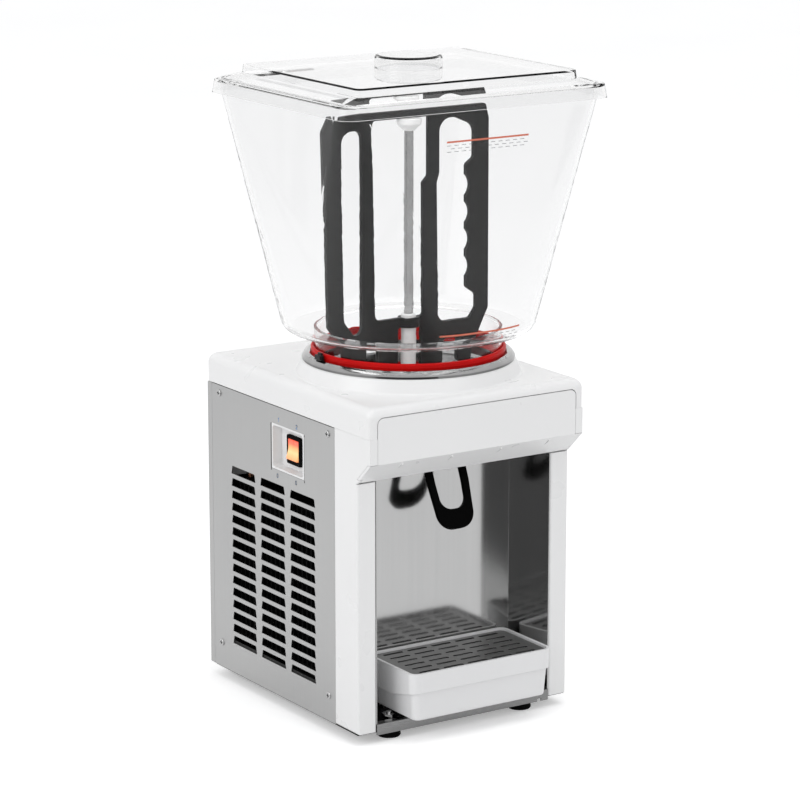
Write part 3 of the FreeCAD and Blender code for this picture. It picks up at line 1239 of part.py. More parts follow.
def drip_grille():
    """Stainless grille with folded edge and six rows of rounded slots."""
    mid = tray_middle()
    wall = TRAY_WALL + GRILLE_GAP
    hx = TRAY_HALF - wall
    hy = (TRAY_BACK - TRAY_FRONT) / 2 - wall
    top = TRAY_TOP - GRILLE_DROP
    low = top - GRILLE_EDGE
    t = GRILLE_SHEET
    r = TRAY_CORNER - wall
    body = taper((hx, hy, r, low), (hx, hy, r, top), y=mid)
    crest = edges_at(body, lambda m, ends: abs(m.z - top) < 1e-3)
    body = body.makeFillet(1.0, crest)
    room = taper((hx - t, hy - t, r - t, low - 1), (hx - t, hy - t, r - t, top - t), y=mid)
    cutters = [room]
    a = (GRILLE_SLOT - GRILLE_SLOT_WIDTH) / 2
    w = GRILLE_SLOT_WIDTH / 2
    across = 2 * (hx - GRILLE_MARGIN_X) / GRILLE_COLUMNS
    along = 2 * (hy - GRILLE_MARGIN_Y) / GRILLE_ROWS
    for column in range(GRILLE_COLUMNS):
        x = (column - (GRILLE_COLUMNS - 1) / 2) * across
        for row in range(GRILLE_ROWS):
            y = mid + (row - (GRILLE_ROWS - 1) / 2) * along
            long = a + w
            slot = [(x - long, y - w, w * 0.8), (x + long, y - w, w * 0.8)]
            slot += [(x + long, y + w, w * 0.8), (x - long, y + w, w * 0.8)]
            cutters.append(plate(slot, lambda p, q: Vector(p, q, top - 3), Vector(0, 0, 4)))
    return in_tray_place(body.cut(Part.makeCompound(cutters)))


# ---- lever and valve ----
def lever_place(u, w):
    """Point of the lever's front face: u across, w down along it from the pivot."""
    tilt = math.radians(LEVER_TILT)
    half = LEVER_THICKNESS / 2
    y = LEVER_PIVOT_Y - w * math.sin(tilt) - half * math.cos(tilt)
    z = LEVER_PIVOT_Z - w * math.cos(tilt) + half * math.sin(tilt)
    return Vector(u, y, z)


def push_lever():
    """U-shaped cup lever with pivot ears."""
    tilt = math.radians(LEVER_TILT)
    depth = Vector(0, LEVER_THICKNESS * math.cos(tilt), -LEVER_THICKNESS * math.sin(tilt))
    half = LEVER_HALF
    pad = LEVER_PAD_HALF
    end = LEVER_LENGTH
    bend = LEVER_SHOULDER
    turn = LEVER_ROUND
    outer = [(-half, 2, 0), (-half, bend, 20), (-pad, end, turn), (pad, end, turn)]
    outer += [(half, bend, 20), (half, 2, 0)]
    arm = LEVER_ARM
    foot = end - LEVER_PAD
    low = pad - arm + LOOP_SPREAD
    turn = LOOP_ROUND
    inner = [(-half + arm, -3, 0), (-half + arm, bend, 20), (-low, foot, turn)]
    inner += [(low, foot, turn), (half - arm, bend, 20), (half - arm, -3, 0)]
    body = plate(outer, lever_place, depth).cut(plate(inner, lever_place, depth))
    ears = []
    for s in (-1, 1):
        a = (s * (half - arm), LEVER_PIVOT_Y, LEVER_PIVOT_Z)
        b = (s * half, LEVER_PIVOT_Y, LEVER_PIVOT_Z)
        ears.append(rod(EAR_RADIUS, a, b))
    body = fused([body] + ears)
    a = (-half - 1, LEVER_PIVOT_Y, LEVER_PIVOT_Z)
    b = (half + 1, LEVER_PIVOT_Y, LEVER_PIVOT_Z)
    return body.cut(rod(PIN_RADIUS + RUNNING, a, b))


def lever_pin():
    """Pivot pin through lever and valve body, headed at one end."""
    y = LEVER_PIVOT_Y
    z = LEVER_PIVOT_Z
    end = LEVER_HALF + 2
    pin = rod(PIN_RADIUS, (-end, y, z), (end, y, z))
    head = rod(PIN_RADIUS + 1.5, (end, y, z), (end + 2, y, z))
    return pin.fuse(head).removeSplitter()


def valve_body():
    """Block with nozzle: hangs from the outlet tube and carries the lever pin."""
    half = VALVE_HALF
    roof = DECK_BOTTOM
    back = LEVER_PIVOT_Y + 9
    low = VALVE_LOW
    block = box(-half, half, VALVE_Y - NOZZLE_RADIUS - 4, back, low, roof)
    side = edges_at(block, lambda m, ends: upright(ends))
    block = block.makeFillet(2.5, side)
    nozzle = turned([(0, NOZZLE_BOTTOM), (NOZZLE_RADIUS - 1, NOZZLE_BOTTOM),
                     (NOZZLE_RADIUS, NOZZLE_BOTTOM + 3), (NOZZLE_RADIUS + 1, low + 1),
                     (0, low + 1)], 0, VALVE_Y)
    body = fused([block, nozzle])
    body = body.cut(disc(NOZZLE_RADIUS - 2.5, NOZZLE_BOTTOM - 1, VALVE_SEAT, 0, VALVE_Y))
    body = body.cut(disc(OUTLET_RADIUS + PRESS_GAP, roof - OUTLET_SEAT, roof + 1, 0, VALVE_Y))
    body = body.cut(disc(OUTLET_RADIUS - 3.5, VALVE_SEAT - 1, roof - OUTLET_SEAT + 1, 0, VALVE_Y))
    a = (-half - 1, LEVER_PIVOT_Y, LEVER_PIVOT_Z)
    b = (half + 1, LEVER_PIVOT_Y, LEVER_PIVOT_Z)
    return body.cut(rod(PIN_RADIUS + PRESS_GAP, a, b))


def valve_stem():
    """Stem whose conical head closes the nozzle's seat from below."""
    seat = VALVE_SEAT
    low = seat - 20
    profile = [(0, low), (STEM_RADIUS, low), (STEM_RADIUS, seat - 7)]
    profile += [(STEM_RADIUS + 1.7, seat - 3.5), (STEM_RADIUS + 1.7, seat), (0, seat)]
    return turned(profile, 0, VALVE_Y)


def lever_spring():
    """Torsion spring of three coils round the pin."""
    coils = []
    for i in range(3):
        x = VALVE_HALF + 0.45 + i * 0.62
        centre = Vector(x, LEVER_PIVOT_Y, LEVER_PIVOT_Z)
        coils.append(Part.makeTorus(PIN_RADIUS + 1.1, 0.45, centre, Vector(1, 0, 0)))
    return fused(coils)


# ---- switch ----
def switch_well():
    """White recess behind the panel's cut-out, open outwards, with a rim behind the sheet."""
    w = WELL_WALL
    inner = -PANEL_INNER
    rim = box(inner, inner + w, WELL_FRONT - WELL_RIM, WELL_BACK + WELL_RIM,
              WELL_LOW - WELL_RIM, WELL_HIGH + WELL_RIM)
    gap = WELL_GAP
    cup = box(-BODY_HALF + gap, WELL_FLOOR + w, WELL_FRONT + gap, WELL_BACK - gap,
              WELL_LOW + gap, WELL_HIGH - gap)
    body = rim.fuse(cup)
    room = box(-BODY_HALF - 1, WELL_FLOOR, WELL_FRONT + gap + w, WELL_BACK - gap - w,
               WELL_LOW + gap + w, WELL_HIGH - gap - w)
    soft = edges_at(room, lambda m, ends: abs(ends[0].x - ends[1].x) > 2)
    room = room.makeFillet(4.0, soft)
    body = body.cut(room)
    half = SWITCH_BODY_HALF + gap
    high = SWITCH_BODY_HIGH + gap
    hole = box(WELL_FLOOR - 1, WELL_FLOOR + w + 1, SWITCH_Y - half, SWITCH_Y + half,
               SWITCH_Z - high, SWITCH_Z + high)
    return body.cut(hole).removeSplitter()


def rocker_axis_x():
    """Depth of the rockers' hinge."""
    return WELL_FLOOR + 0.5


def switch_housing():
    """Bezel and body of the twin rocker switch, with terminals behind."""
    x0 = WELL_FLOOR - BEZEL_PROUD
    bezel = box(x0, WELL_FLOOR, SWITCH_Y - BEZEL_WIDTH / 2, SWITCH_Y + BEZEL_WIDTH / 2,
                SWITCH_Z - BEZEL_HEIGHT / 2, SWITCH_Z + BEZEL_HEIGHT / 2)
    soft = edges_at(bezel, lambda m, ends: abs(ends[0].x - ends[1].x) > 1)
    bezel = bezel.makeFillet(2.0, soft)
    lip = edges_at(bezel, lambda m, ends: abs(m.x - x0) < 1e-3)
    bezel = bezel.makeFillet(0.8, lip)
    side = SWITCH_BODY_HALF
    body = box(WELL_FLOOR - 0.5, WELL_FLOOR + SWITCH_BODY_DEPTH, SWITCH_Y - side, SWITCH_Y + side,
               SWITCH_Z - SWITCH_BODY_HIGH, SWITCH_Z + SWITCH_BODY_HIGH)
    whole = bezel.fuse(body)
    wide = ROCKER_WIDTH + ROCKER_SPLIT / 2 + ROCKER_ROOM
    high = ROCKER_HEIGHT / 2 + ROCKER_END_ROOM
    room = box(x0 - 1, WELL_FLOOR + 9, SWITCH_Y - wide, SWITCH_Y + wide,
               SWITCH_Z - high, SWITCH_Z + high)
    whole = whole.cut(room)
    reach = wide + ROCKER_PIN_LENGTH
    a = (rocker_axis_x(), SWITCH_Y - reach, SWITCH_Z)
    b = (rocker_axis_x(), SWITCH_Y + reach, SWITCH_Z)
    whole = whole.cut(rod(ROCKER_PIN + RUNNING, a, b))
    ends = []
    for y in (-6.0, 6.0):
        for z in (-7.0, 0.0, 7.0):
            x = WELL_FLOOR + SWITCH_BODY_DEPTH
            ends.append(box(x - 1, x + 8, SWITCH_Y + y - 0.4, SWITCH_Y + y + 0.4,
                            SWITCH_Z + z - 2.4, SWITCH_Z + z + 2.4))
    return fused([whole] + ends)


def rocker(side):
    """One lit rocker, tilted with its upper end pressed in; side -1 is the front one."""
    half = ROCKER_HEIGHT / 2
    pivot_x = rocker_axis_x()
    y0 = SWITCH_Y + ROCKER_SPLIT / 2
    if side < 0:
        y0 = SWITCH_Y - ROCKER_SPLIT / 2 - ROCKER_WIDTH
    corners = [(5.0, -half, 1.0), (3.2, 0, 20), (5.0, half, 1.0), (0.5, half, 0.5)]
    corners += [(-3.5, 5, 1.0), (-3.5, -5, 1.0), (0.5, -half, 0.5)]
    cap = plate(corners, lambda a, b: Vector(pivot_x - a, y0, SWITCH_Z + b),
                Vector(0, ROCKER_WIDTH, 0))
    cap.rotate(Vector(pivot_x, 0, SWITCH_Z), Vector(0, 1, 0), ROCKER_TILT)
    outer = ROCKER_WIDTH + ROCKER_SPLIT / 2
    reach = outer + ROCKER_ROOM + ROCKER_PIN_LENGTH - 0.1
    a = (pivot_x, SWITCH_Y + side * (outer - 4), SWITCH_Z)
    b = (pivot_x, SWITCH_Y + side * reach, SWITCH_Z)
    return cap.fuse(rod(ROCKER_PIN, a, b)).removeSplitter()


# ---- refrigeration ----
def condenser():
    """Finned condenser block close behind the left louvres."""
    block = box(CONDENSER_OUTER, CONDENSER_INNER, CONDENSER_FRONT, CONDENSER_BACK,
                CONDENSER_LOW, CONDENSER_HIGH)
    grooves = []
    pitch = (CONDENSER_BACK - CONDENSER_FRONT) / FIN_GAPS
    for i in range(FIN_GAPS):
        y = CONDENSER_FRONT + (i + 0.5) * pitch
        grooves.append(box(CONDENSER_OUTER - 1, CONDENSER_OUTER + 5, y - pitch * 0.34,
                           y + pitch * 0.34, CONDENSER_LOW + 4, CONDENSER_HIGH - 4))
    body = block.cut(Part.makeCompound(grooves))
    legs = []
    for y in (CONDENSER_FRONT + 8, CONDENSER_BACK - 20):
        legs.append(box(CONDENSER_OUTER + 6, CONDENSER_OUTER + 6 + SHEET, y, y + 12,
                        0, CONDENSER_LOW + 1))
    return fused([body] + legs)


def fan_shroud():
    """Shroud plate with a ring round the fan and three arms to the motor."""
    x = CONDENSER_INNER
    t = 2.0
    sheet = box(x, x + t, CONDENSER_FRONT + 20, CONDENSER_BACK, CONDENSER_LOW, CONDENSER_HIGH)
    ring = rod(FAN_RADIUS + 6, (x, FAN_Y, FAN_Z), (x + 24, FAN_Y, FAN_Z))
    hole = rod(FAN_RADIUS + 3, (x - 1, FAN_Y, FAN_Z), (x + 25, FAN_Y, FAN_Z))
    arms = []
    for i in range(3):
        arm = box(x + 22, x + 25, -3, 3, FAN_MOTOR_RADIUS - 1, FAN_RADIUS + 5)
        arm.rotate(Vector(0, 0, 0), Vector(1, 0, 0), 120.0 * i)
        arm.translate(Vector(0, FAN_Y, FAN_Z))
        arms.append(arm)
    body = fused([sheet, ring]).cut(hole)
    body = fused([body] + arms)
    return body.cut(rod(FAN_MOTOR_RADIUS, (x + 20, FAN_Y, FAN_Z), (x + 30, FAN_Y, FAN_Z)))


def fan_motor():
    """Shaded-pole motor held by the shroud's arms, with its shaft."""
    x = CONDENSER_INNER + 22
    end = x + FAN_MOTOR_LENGTH
    can = rod(FAN_MOTOR_RADIUS, (x, FAN_Y, FAN_Z), (end, FAN_Y, FAN_Z))
    soft = edges_at(can, lambda m, ends: abs(m.x - end) < 1e-3)
    can = can.makeFillet(3.0, soft)
    shaft = rod(2.5, (x - 14, FAN_Y, FAN_Z), (x + 1, FAN_Y, FAN_Z))
    return fused([can, shaft])


def fan_rotor():
    """Hub with pitched blades."""
    x0 = CONDENSER_INNER + 4
    x1 = CONDENSER_INNER + 19
    hub = rod(FAN_HUB, (x0, FAN_Y, FAN_Z), (x1, FAN_Y, FAN_Z))
    blades = []
    for i in range(FAN_BLADES):
        wires = []
        for radius, chord, pitch in ((FAN_HUB - 3, 16.0, 38.0), (FAN_RADIUS, 30.0, 20.0)):
            c = chord / 2 * math.cos(math.radians(pitch))
            s = chord / 2 * math.sin(math.radians(pitch))
            mid = (x0 + x1) / 2
            p = [Vector(mid - s - 0.6, -c, radius), Vector(mid + s - 0.6, c, radius)]
            p += [Vector(mid + s + 0.6, c, radius), Vector(mid - s + 0.6, -c, radius)]
            wires.append(Part.makePolygon(p + p[:1]))
        blade = Part.makeLoft(wires, True, True)
        blade.rotate(Vector(0, 0, 0), Vector(1, 0, 0), 360.0 / FAN_BLADES * i)
        blade.translate(Vector(0, FAN_Y, FAN_Z))
        blades.append(blade)
    body = fused([hub] + blades)
    return body.cut(rod(2.5 + RUNNING, (x0 - 1, FAN_Y, FAN_Z), (x1 + 1, FAN_Y, FAN_Z)))


def compressor_spots():
    """Compressor mounts as (x, y)."""
    reach = COMPRESSOR_RADIUS - 6
    x = COMPRESSOR_X
    y = COMPRESSOR_Y
    return [(x + a * reach, y + b * reach) for a in (-1, 1) for b in (-1, 1)]


def compressor():
    """Hermetic compressor: domed can with weld seam on a four-armed foot."""
    r = COMPRESSOR_RADIUS
    low = COMPRESSOR_BOTTOM
    top = COMPRESSOR_TOP
    seam = (low + top) / 2
    profile = [(0, low), (r * 0.62, low), (r * 0.86, low + 6), (r, low + 18), (r, seam - 3.5)]
    profile += [(r + 3, seam - 3.5), (r + 3, seam + 0.5), (r, seam + 0.5), (r, top - 26)]
    profile += [(r * 0.9, top - 12), (r * 0.66, top - 3.5), (r * 0.3, top), (0, top)]
    can = turned(profile, COMPRESSOR_X, COMPRESSOR_Y)
    x = COMPRESSOR_X
    y = COMPRESSOR_Y
    reach = r - 6
    foot = box(x - reach - 10, x + reach + 10, y - reach - 10, y + reach + 10, low - 3, low)
    soft = edges_at(foot, lambda m, ends: upright(ends))
    foot = foot.makeFillet(8.0, soft)
    holes = [disc(MOUNT_RADIUS - 4, low - 4, low + 1, a, b) for a, b in compressor_spots()]
    return fused([can, foot]).cut(Part.makeCompound(holes))


def compressor_mounts():
    """Rubber grommets between compressor foot and base pan, with their studs."""
    low = COMPRESSOR_BOTTOM
    mounts = []
    for x, y in compressor_spots():
        profile = [(0, 0), (MOUNT_RADIUS, 0), (MOUNT_RADIUS - 2, 5), (MOUNT_RADIUS, low - 3)]
        profile += [(MOUNT_RADIUS - 4.2, low - 3), (MOUNT_RADIUS - 4.2, low + 2), (0, low + 2)]
        mounts.append(turned(profile, x, y))
    return Part.makeCompound(mounts)


def terminal_box():
    """Cover over the compressor's terminals."""
    x = COMPRESSOR_X - COMPRESSOR_RADIUS
    y = COMPRESSOR_Y
    seam = (COMPRESSOR_BOTTOM + COMPRESSOR_TOP) / 2
    body = box(x - 14, x + 14, y - 20, y + 20, seam + 0.5, seam + 40.5)
    soft = edges_at(body, lambda m, ends: abs(m.x - x + 14) < 1e-3)
    body = body.makeFillet(3.0, soft)
    return body.cut(disc(COMPRESSOR_RADIUS, seam, seam + 50, COMPRESSOR_X, COMPRESSOR_Y))


def filter_drier():
    """Copper drier pot upright beside the condenser's front end."""
    r = DRIER_RADIUS
    t = DRIER_TUBE
    top = DRIER_HEIGHT
    profile = [(0, 0), (t, 0), (t, 8), (r, 15), (r, top - 16), (t, top - 8), (t, top), (0, top)]
    return turned(profile, DRIER_X, DRIER_Y)


def discharge_line():
    """Copper line from the compressor to the condenser's upper header."""
    x = COMPRESSOR_X + 20
    y = COMPRESSOR_Y + 24
    top = COMPRESSOR_TOP - 12
    high = CONDENSER_HIGH + DISCHARGE_RISE
    end = CONDENSER_INNER - 12
    points = [(x, y, top), (x, y, high), (x - 97, y + 34, high), (end, y + 16, high)]
    points += [(end, y + 16, CONDENSER_HIGH)]
    return tube_path(points, LINE_RADIUS, DISCHARGE_BEND).cut(compressor())


def suction_line():
    """Line from the evaporator down to the compressor."""
    x = SUCTION_X
    y = SUCTION_Y
    bend = DECK_BOTTOM - SUCTION_DROP
    points = [(x, y, FOAM_TOP - 0.5), (x, y, bend)]
    points += [(COMPRESSOR_X + 12, COMPRESSOR_Y - 22, bend - 26)]
    points += [(COMPRESSOR_X + 12, COMPRESSOR_Y - 22, COMPRESSOR_TOP - 8)]
    return tube_path(points, LINE_RADIUS, SUCTION_BEND).cut(compressor())


def thermostat():
    """Thermostat body fixed under the deck behind the gearbox."""
    x = THERMOSTAT_X
    y = THERMOSTAT_Y
    low = DECK_BOTTOM - THERMOSTAT_DEPTH
    body = box(x - THERMOSTAT_HALF_X, x + THERMOSTAT_HALF_X, y - THERMOSTAT_HALF_Y,
               y + THERMOSTAT_HALF_Y, low, DECK_BOTTOM)
    soft = edges_at(body, lambda m, ends: upright(ends))
    body = body.makeFillet(3.0, soft)
    shaft = disc(4.0, low - 10, low + 1, x, y)
    return fused([body, shaft])


def relay_box():
    """Start relay and capacitor box on the rear upstand of the base pan."""
    y = PANEL_BACK - SHEET
    front = y - RELAY_DEPTH
    body = box(RELAY_X - RELAY_HALF, RELAY_X + RELAY_HALF, front, y, RELAY_LOW, RELAY_HIGH)
    soft = edges_at(body, lambda m, ends: abs(m.y - front) < 1e-3)
    return body.makeFillet(2.5, soft)


def power_gland():
    """Cable gland through the rear panel, with its inner nut."""
    y = REAR_FACE
    r = GLAND_RADIUS
    body = rod(r, (GLAND_X, y, GLAND_Z), (GLAND_X, y + 4, GLAND_Z))
    nose = rod(r - 1.5, (GLAND_X, y + 3, GLAND_Z), (GLAND_X, y + GLAND_PROUD, GLAND_Z))
    neck = rod(r - 3, (GLAND_X, y - SHEET, GLAND_Z), (GLAND_X, y + 1, GLAND_Z))
    nut = rod(r, (GLAND_X, y - SHEET - 4, GLAND_Z), (GLAND_X, y - SHEET, GLAND_Z))
    whole = fused([body, nose, neck, nut])
    return whole.cut(rod(GLAND_BORE, (GLAND_X, y - 20, GLAND_Z), (GLAND_X, y + 20, GLAND_Z)))


# ---- output ----
def pieces():
    """Every node with its builder."""
    return {
        "base_pan": base_pan,
        "front_bar": front_bar,
        "rubber_feet": rubber_feet,
        "foot_studs": foot_studs,
        "front_frame": front_frame,
        "front_panel": front_panel,
        "left_panel": left_panel,
        "right_panel": right_panel,
        "rear_panel": rear_panel,
        "deck_plate": deck_plate,
        "panel_screws": panel_screws,
        "recess_liner": recess_liner,
        "tray_rails": tray_rails,
        "hood": hood,
        "cooling_pan": cooling_pan,
        "pan_gasket": pan_gasket,
        "locating_clip": locating_clip,
        "pan_insulation": pan_insulation,
        "evaporator_coil": evaporator_coil,
        "outlet_tube": outlet_tube,
        "drive_post": drive_post,
        "stirrer_motor": stirrer_motor,
        "drive_coupling": drive_coupling,
        "drive_rod": drive_rod,
        "rod_cap": rod_cap,
        "stirrer_paddle": stirrer_paddle,
        "tank": tank,
        "lid": lid,
        "drip_tray": drip_tray,
        "drip_grille": drip_grille,
        "push_lever": push_lever,
        "lever_pin": lever_pin,
        "lever_spring": lever_spring,
        "valve_body": valve_body,
        "valve_stem": valve_stem,
        "switch_well": switch_well,
        "switch_housing": switch_housing,
        "rocker_front": lambda: rocker(-1),
        "rocker_rear": lambda: rocker(1),
        "condenser": condenser,
        "fan_shroud": fan_shroud,
        "fan_motor": fan_motor,
        "fan_rotor": fan_rotor,
        "compressor": compressor,
        "compressor_mounts": compressor_mounts,
        "terminal_box": terminal_box,
        "filter_drier": filter_drier,
        "discharge_line": discharge_line,
        "suction_line": suction_line,
        "thermostat": thermostat,
        "relay_box": relay_box,
        "power_gland": power_gland,
    }


def main():
    """Build every piece, move it to the final origin and write it."""
    os.makedirs("parts", exist_ok=True)
    shift = Vector(0, -ORIGIN_Y, FOOT_HEIGHT)
    for name, build in pieces().items():
        shape = build()
        shape.translate(shift)
        solids = len(shape.Solids)
        print(f"{name}: {solids} solid(s), valid {shape.isValid()}, {shape.Volume / 1000:.2f} cm3")
        shape.exportStep(f"parts/{name}.step")


main()
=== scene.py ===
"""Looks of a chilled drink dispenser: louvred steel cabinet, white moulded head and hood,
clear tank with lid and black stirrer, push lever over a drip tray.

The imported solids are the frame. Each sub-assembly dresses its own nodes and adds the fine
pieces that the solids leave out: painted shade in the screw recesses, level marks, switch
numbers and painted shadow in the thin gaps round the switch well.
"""

import logging
import math
from dataclasses import dataclass, field
from enum import Enum
from typing import Callable, Sequence

import bmesh
import bpy
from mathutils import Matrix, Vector


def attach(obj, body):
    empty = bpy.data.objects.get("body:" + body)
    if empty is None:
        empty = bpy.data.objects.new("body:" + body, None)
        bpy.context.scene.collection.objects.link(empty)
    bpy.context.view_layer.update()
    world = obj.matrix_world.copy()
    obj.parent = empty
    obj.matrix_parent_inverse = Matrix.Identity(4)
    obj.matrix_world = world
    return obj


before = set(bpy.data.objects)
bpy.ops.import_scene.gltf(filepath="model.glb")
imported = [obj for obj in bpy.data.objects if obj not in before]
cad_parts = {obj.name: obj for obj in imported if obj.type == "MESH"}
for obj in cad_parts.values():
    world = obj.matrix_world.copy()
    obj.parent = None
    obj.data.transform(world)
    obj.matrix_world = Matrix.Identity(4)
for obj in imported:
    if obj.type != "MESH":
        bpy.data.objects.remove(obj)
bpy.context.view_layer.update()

LOG = logging.getLogger("dispenser")

MM = 1000.0            # millimetres in a metre
ORIGIN_Y = 0.13925     # front post face to the frame's origin, along Y
FOOT = 0.0125          # ground to the underside of the posts
GRAIN_ALONG = 3.0      # brushing noise scale along the strokes
GRAIN_ACROSS = 260.0   # and across them

Tone = tuple[float, float, float]
Spot = tuple[float, float, float]


def grey(level: float) -> Tone:
    """Neutral tone of a level."""
    return (level, level, level)


def at(x: float, y: float, z: float) -> Vector:
    """Point in the shared frame from millimetres measured at the foot of the front posts.

    Args:
        x: millimetres to the right of the middle plane.
        y: millimetres behind the posts' front face.
        z: millimetres above the posts' foot.

    Returns:
        The point in metres.
    """
    return Vector((x / MM, y / MM - ORIGIN_Y, z / MM + FOOT))


class Brush(Enum):
    """Direction in which sheet steel is brushed."""

    ALONG_X = (GRAIN_ALONG, GRAIN_ACROSS, GRAIN_ACROSS)
    ALONG_Z = (GRAIN_ACROSS, GRAIN_ACROSS, GRAIN_ALONG)


# ---------------------------------------------------------------------------
# finishes
# ---------------------------------------------------------------------------
class NodeSheet:
    """Small helper round a material's node tree."""

    LOW_FACTOR = 0.3       # noise factors mostly lie between these two
    HIGH_FACTOR = 0.7
    # the two slopes below bound the painted shade on faces that look sideways
    FLAT_SLOPE = 0.75      # a normal's Z from which a face counts as looking up
    STEEP_SLOPE = 0.1      # and under which it counts as looking sideways
    BEVEL_SAMPLES = 8

    def __init__(self, name: str) -> None:
        """Start an empty material with an output and a principled shader."""
        self.material = bpy.data.materials.new(name)
        self.material.use_nodes = True
        self.tree = self.material.node_tree
        self.tree.nodes.clear()
        self.output = self.add("ShaderNodeOutputMaterial")
        self.shader = self.add("ShaderNodeBsdfPrincipled")
        self.join(self.shader.outputs["BSDF"], self.output.inputs["Surface"])

    def add(self, kind: str) -> bpy.types.Node:
        """Add a node of a kind."""
        return self.tree.nodes.new(kind)

    def join(self, a: bpy.types.NodeSocket, b: bpy.types.NodeSocket) -> None:
        """Link two sockets."""
        self.tree.links.new(a, b)

    def math(self, operation: str, a: bpy.types.NodeSocket,
             b: bpy.types.NodeSocket | float) -> bpy.types.NodeSocket:
        """Sum, product or comparison of two values.

        Args:
            operation: what to do with them.
            a: first value.
            b: second value, a socket or a number.

        Returns:
            The result's socket.
        """
        node = self.add("ShaderNodeMath")
        node.operation = operation
        self.join(a, node.inputs[0])
        if isinstance(b, (int, float)):
            node.inputs[1].default_value = b
        else:
            self.join(b, node.inputs[1])
        return node.outputs["Value"]

    def set(self, **values: object) -> None:
        """Set constants on the principled shader; underscores stand for spaces."""
        for key, value in values.items():
            self.shader.inputs[key.replace("_", " ")].default_value = value

    def noise(self, scale: Sequence[float] | float, detail: float = 3.0,
              rough: float = 0.5) -> bpy.types.NodeSocket:
        """Noise in object space.

        Args:
            scale: one number, or three to stretch the grain along an axis.
            detail: octaves.
            rough: how strong the fine octaves are.

        Returns:
            The factor socket.
        """
        place = self.add("ShaderNodeTexCoord")
        texture = self.add("ShaderNodeTexNoise")
        texture.inputs["Detail"].default_value = detail
        texture.inputs["Roughness"].default_value = rough
        if isinstance(scale, (int, float)):
            texture.inputs["Scale"].default_value = float(scale)
            self.join(place.outputs["Object"], texture.inputs["Vector"])
        else:
            stretch = self.add("ShaderNodeMapping")
            stretch.inputs["Scale"].default_value = scale
            texture.inputs["Scale"].default_value = 1.0
            self.join(place.outputs["Object"], stretch.inputs["Vector"])
            self.join(stretch.outputs["Vector"], texture.inputs["Vector"])
        return texture.outputs["Fac"]

    def spread(self, factor: bpy.types.NodeSocket, low: float, high: float,
               target: bpy.types.NodeSocket) -> None:
        """Map a noise factor to low..high and feed a socket.

        Args:
            factor: the noise.
            low: value where the noise is low.
            high: value where it is high.
            target: the socket that takes the value.
        """
        ramp = self.add("ShaderNodeMapRange")
        ramp.inputs["From Min"].default_value = self.LOW_FACTOR
        ramp.inputs["From Max"].default_value = self.HIGH_FACTOR
        ramp.inputs["To Min"].default_value = low
        ramp.inputs["To Max"].default_value = high
        self.join(factor, ramp.inputs["Value"])
        self.join(ramp.outputs["Result"], target)

    def tint(self, factor: bpy.types.NodeSocket, dark: Tone, light: Tone) -> None:
        """Colour the base between two tones.

        Args:
            factor: the noise that chooses.
            dark: tone where it is low.
            light: tone where it is high.
        """
        ramp = self.add("ShaderNodeValToRGB")
        ramp.color_ramp.elements[0].position = self.LOW_FACTOR
        ramp.color_ramp.elements[0].color = (*dark, 1.0)
        ramp.color_ramp.elements[1].position = self.HIGH_FACTOR
        ramp.color_ramp.elements[1].color = (*light, 1.0)
        self.join(factor, ramp.inputs["Fac"])
        self.join(ramp.outputs["Color"], self.shader.inputs["Base Color"])

    def bump(self, factor: bpy.types.NodeSocket, strength: float, depth: float,
             edge: float = 0.0) -> None:
        """Bump from a factor, over edges that look slightly rounded.

        Args:
            factor: height.
            strength: 0 to 1.
            depth: metres between low and high.
            edge: radius of the rounded look of sharp edges, in metres.
        """
        node = self.add("ShaderNodeBump")
        node.inputs["Strength"].default_value = strength
        node.inputs["Distance"].default_value = depth
        self.join(factor, node.inputs["Height"])
        if edge > 0:
            soft = self.add("ShaderNodeBevel")
            soft.samples = self.BEVEL_SAMPLES
            soft.inputs["Radius"].default_value = edge
            self.join(soft.outputs["Normal"], node.inputs["Normal"])
        self.join(node.outputs["Normal"], self.shader.inputs["Normal"])

    def paint_slope_shade(self, side: float) -> None:
        """Darken the base colour on faces that look sideways or down: painted shade standing
        in for the darker surroundings that these faces reflect.

        Args:
            side: painted brightness there, as a share of the brightness of faces that look
                up.
        """
        place = self.add("ShaderNodeNewGeometry")
        split = self.add("ShaderNodeSeparateXYZ")
        self.join(place.outputs["Normal"], split.inputs["Vector"])
        slope = self.add("ShaderNodeMapRange")
        slope.inputs["From Min"].default_value = self.STEEP_SLOPE
        slope.inputs["From Max"].default_value = self.FLAT_SLOPE
        slope.inputs["To Min"].default_value = side
        slope.inputs["To Max"].default_value = 1.0
        self.join(split.outputs["Z"], slope.inputs["Value"])
        scale = self.add("ShaderNodeVectorMath")
        scale.operation = "SCALE"
        self.join(self.shader.inputs["Base Color"].links[0].from_socket, scale.inputs[0])
        self.join(slope.outputs["Result"], scale.inputs["Scale"])
        self.join(scale.outputs["Vector"], self.shader.inputs["Base Color"])


@dataclass(frozen=True)
class MouldedPlastic:
    """Injection-moulded plastic with a fine skin."""

    name: str
    dark: Tone
    light: Tone
    roughness: float = 0.3
    grain: float = 260.0
    depth: float = 0.00001
    specular: float = 0.5
    edge: float = 0.0006
    ior: float = 1.5
    cloud: float = 7.0
    sheen: float = 30.0
    relief: float = 0.2

    def build(self) -> bpy.types.Material:
        """Make the material."""
        sheet = NodeSheet(self.name)
        sheet.set(IOR=self.ior, Specular_IOR_Level=self.specular)
        sheet.tint(sheet.noise(self.cloud, 2.0), self.dark, self.light)
        skin = sheet.noise(self.grain, 1.0)
        sheet.spread(sheet.noise(self.sheen, 2.0), self.roughness * 0.9,
                     self.roughness * 1.1, sheet.shader.inputs["Roughness"])
        sheet.bump(skin, self.relief, self.depth, self.edge)
        return sheet.material


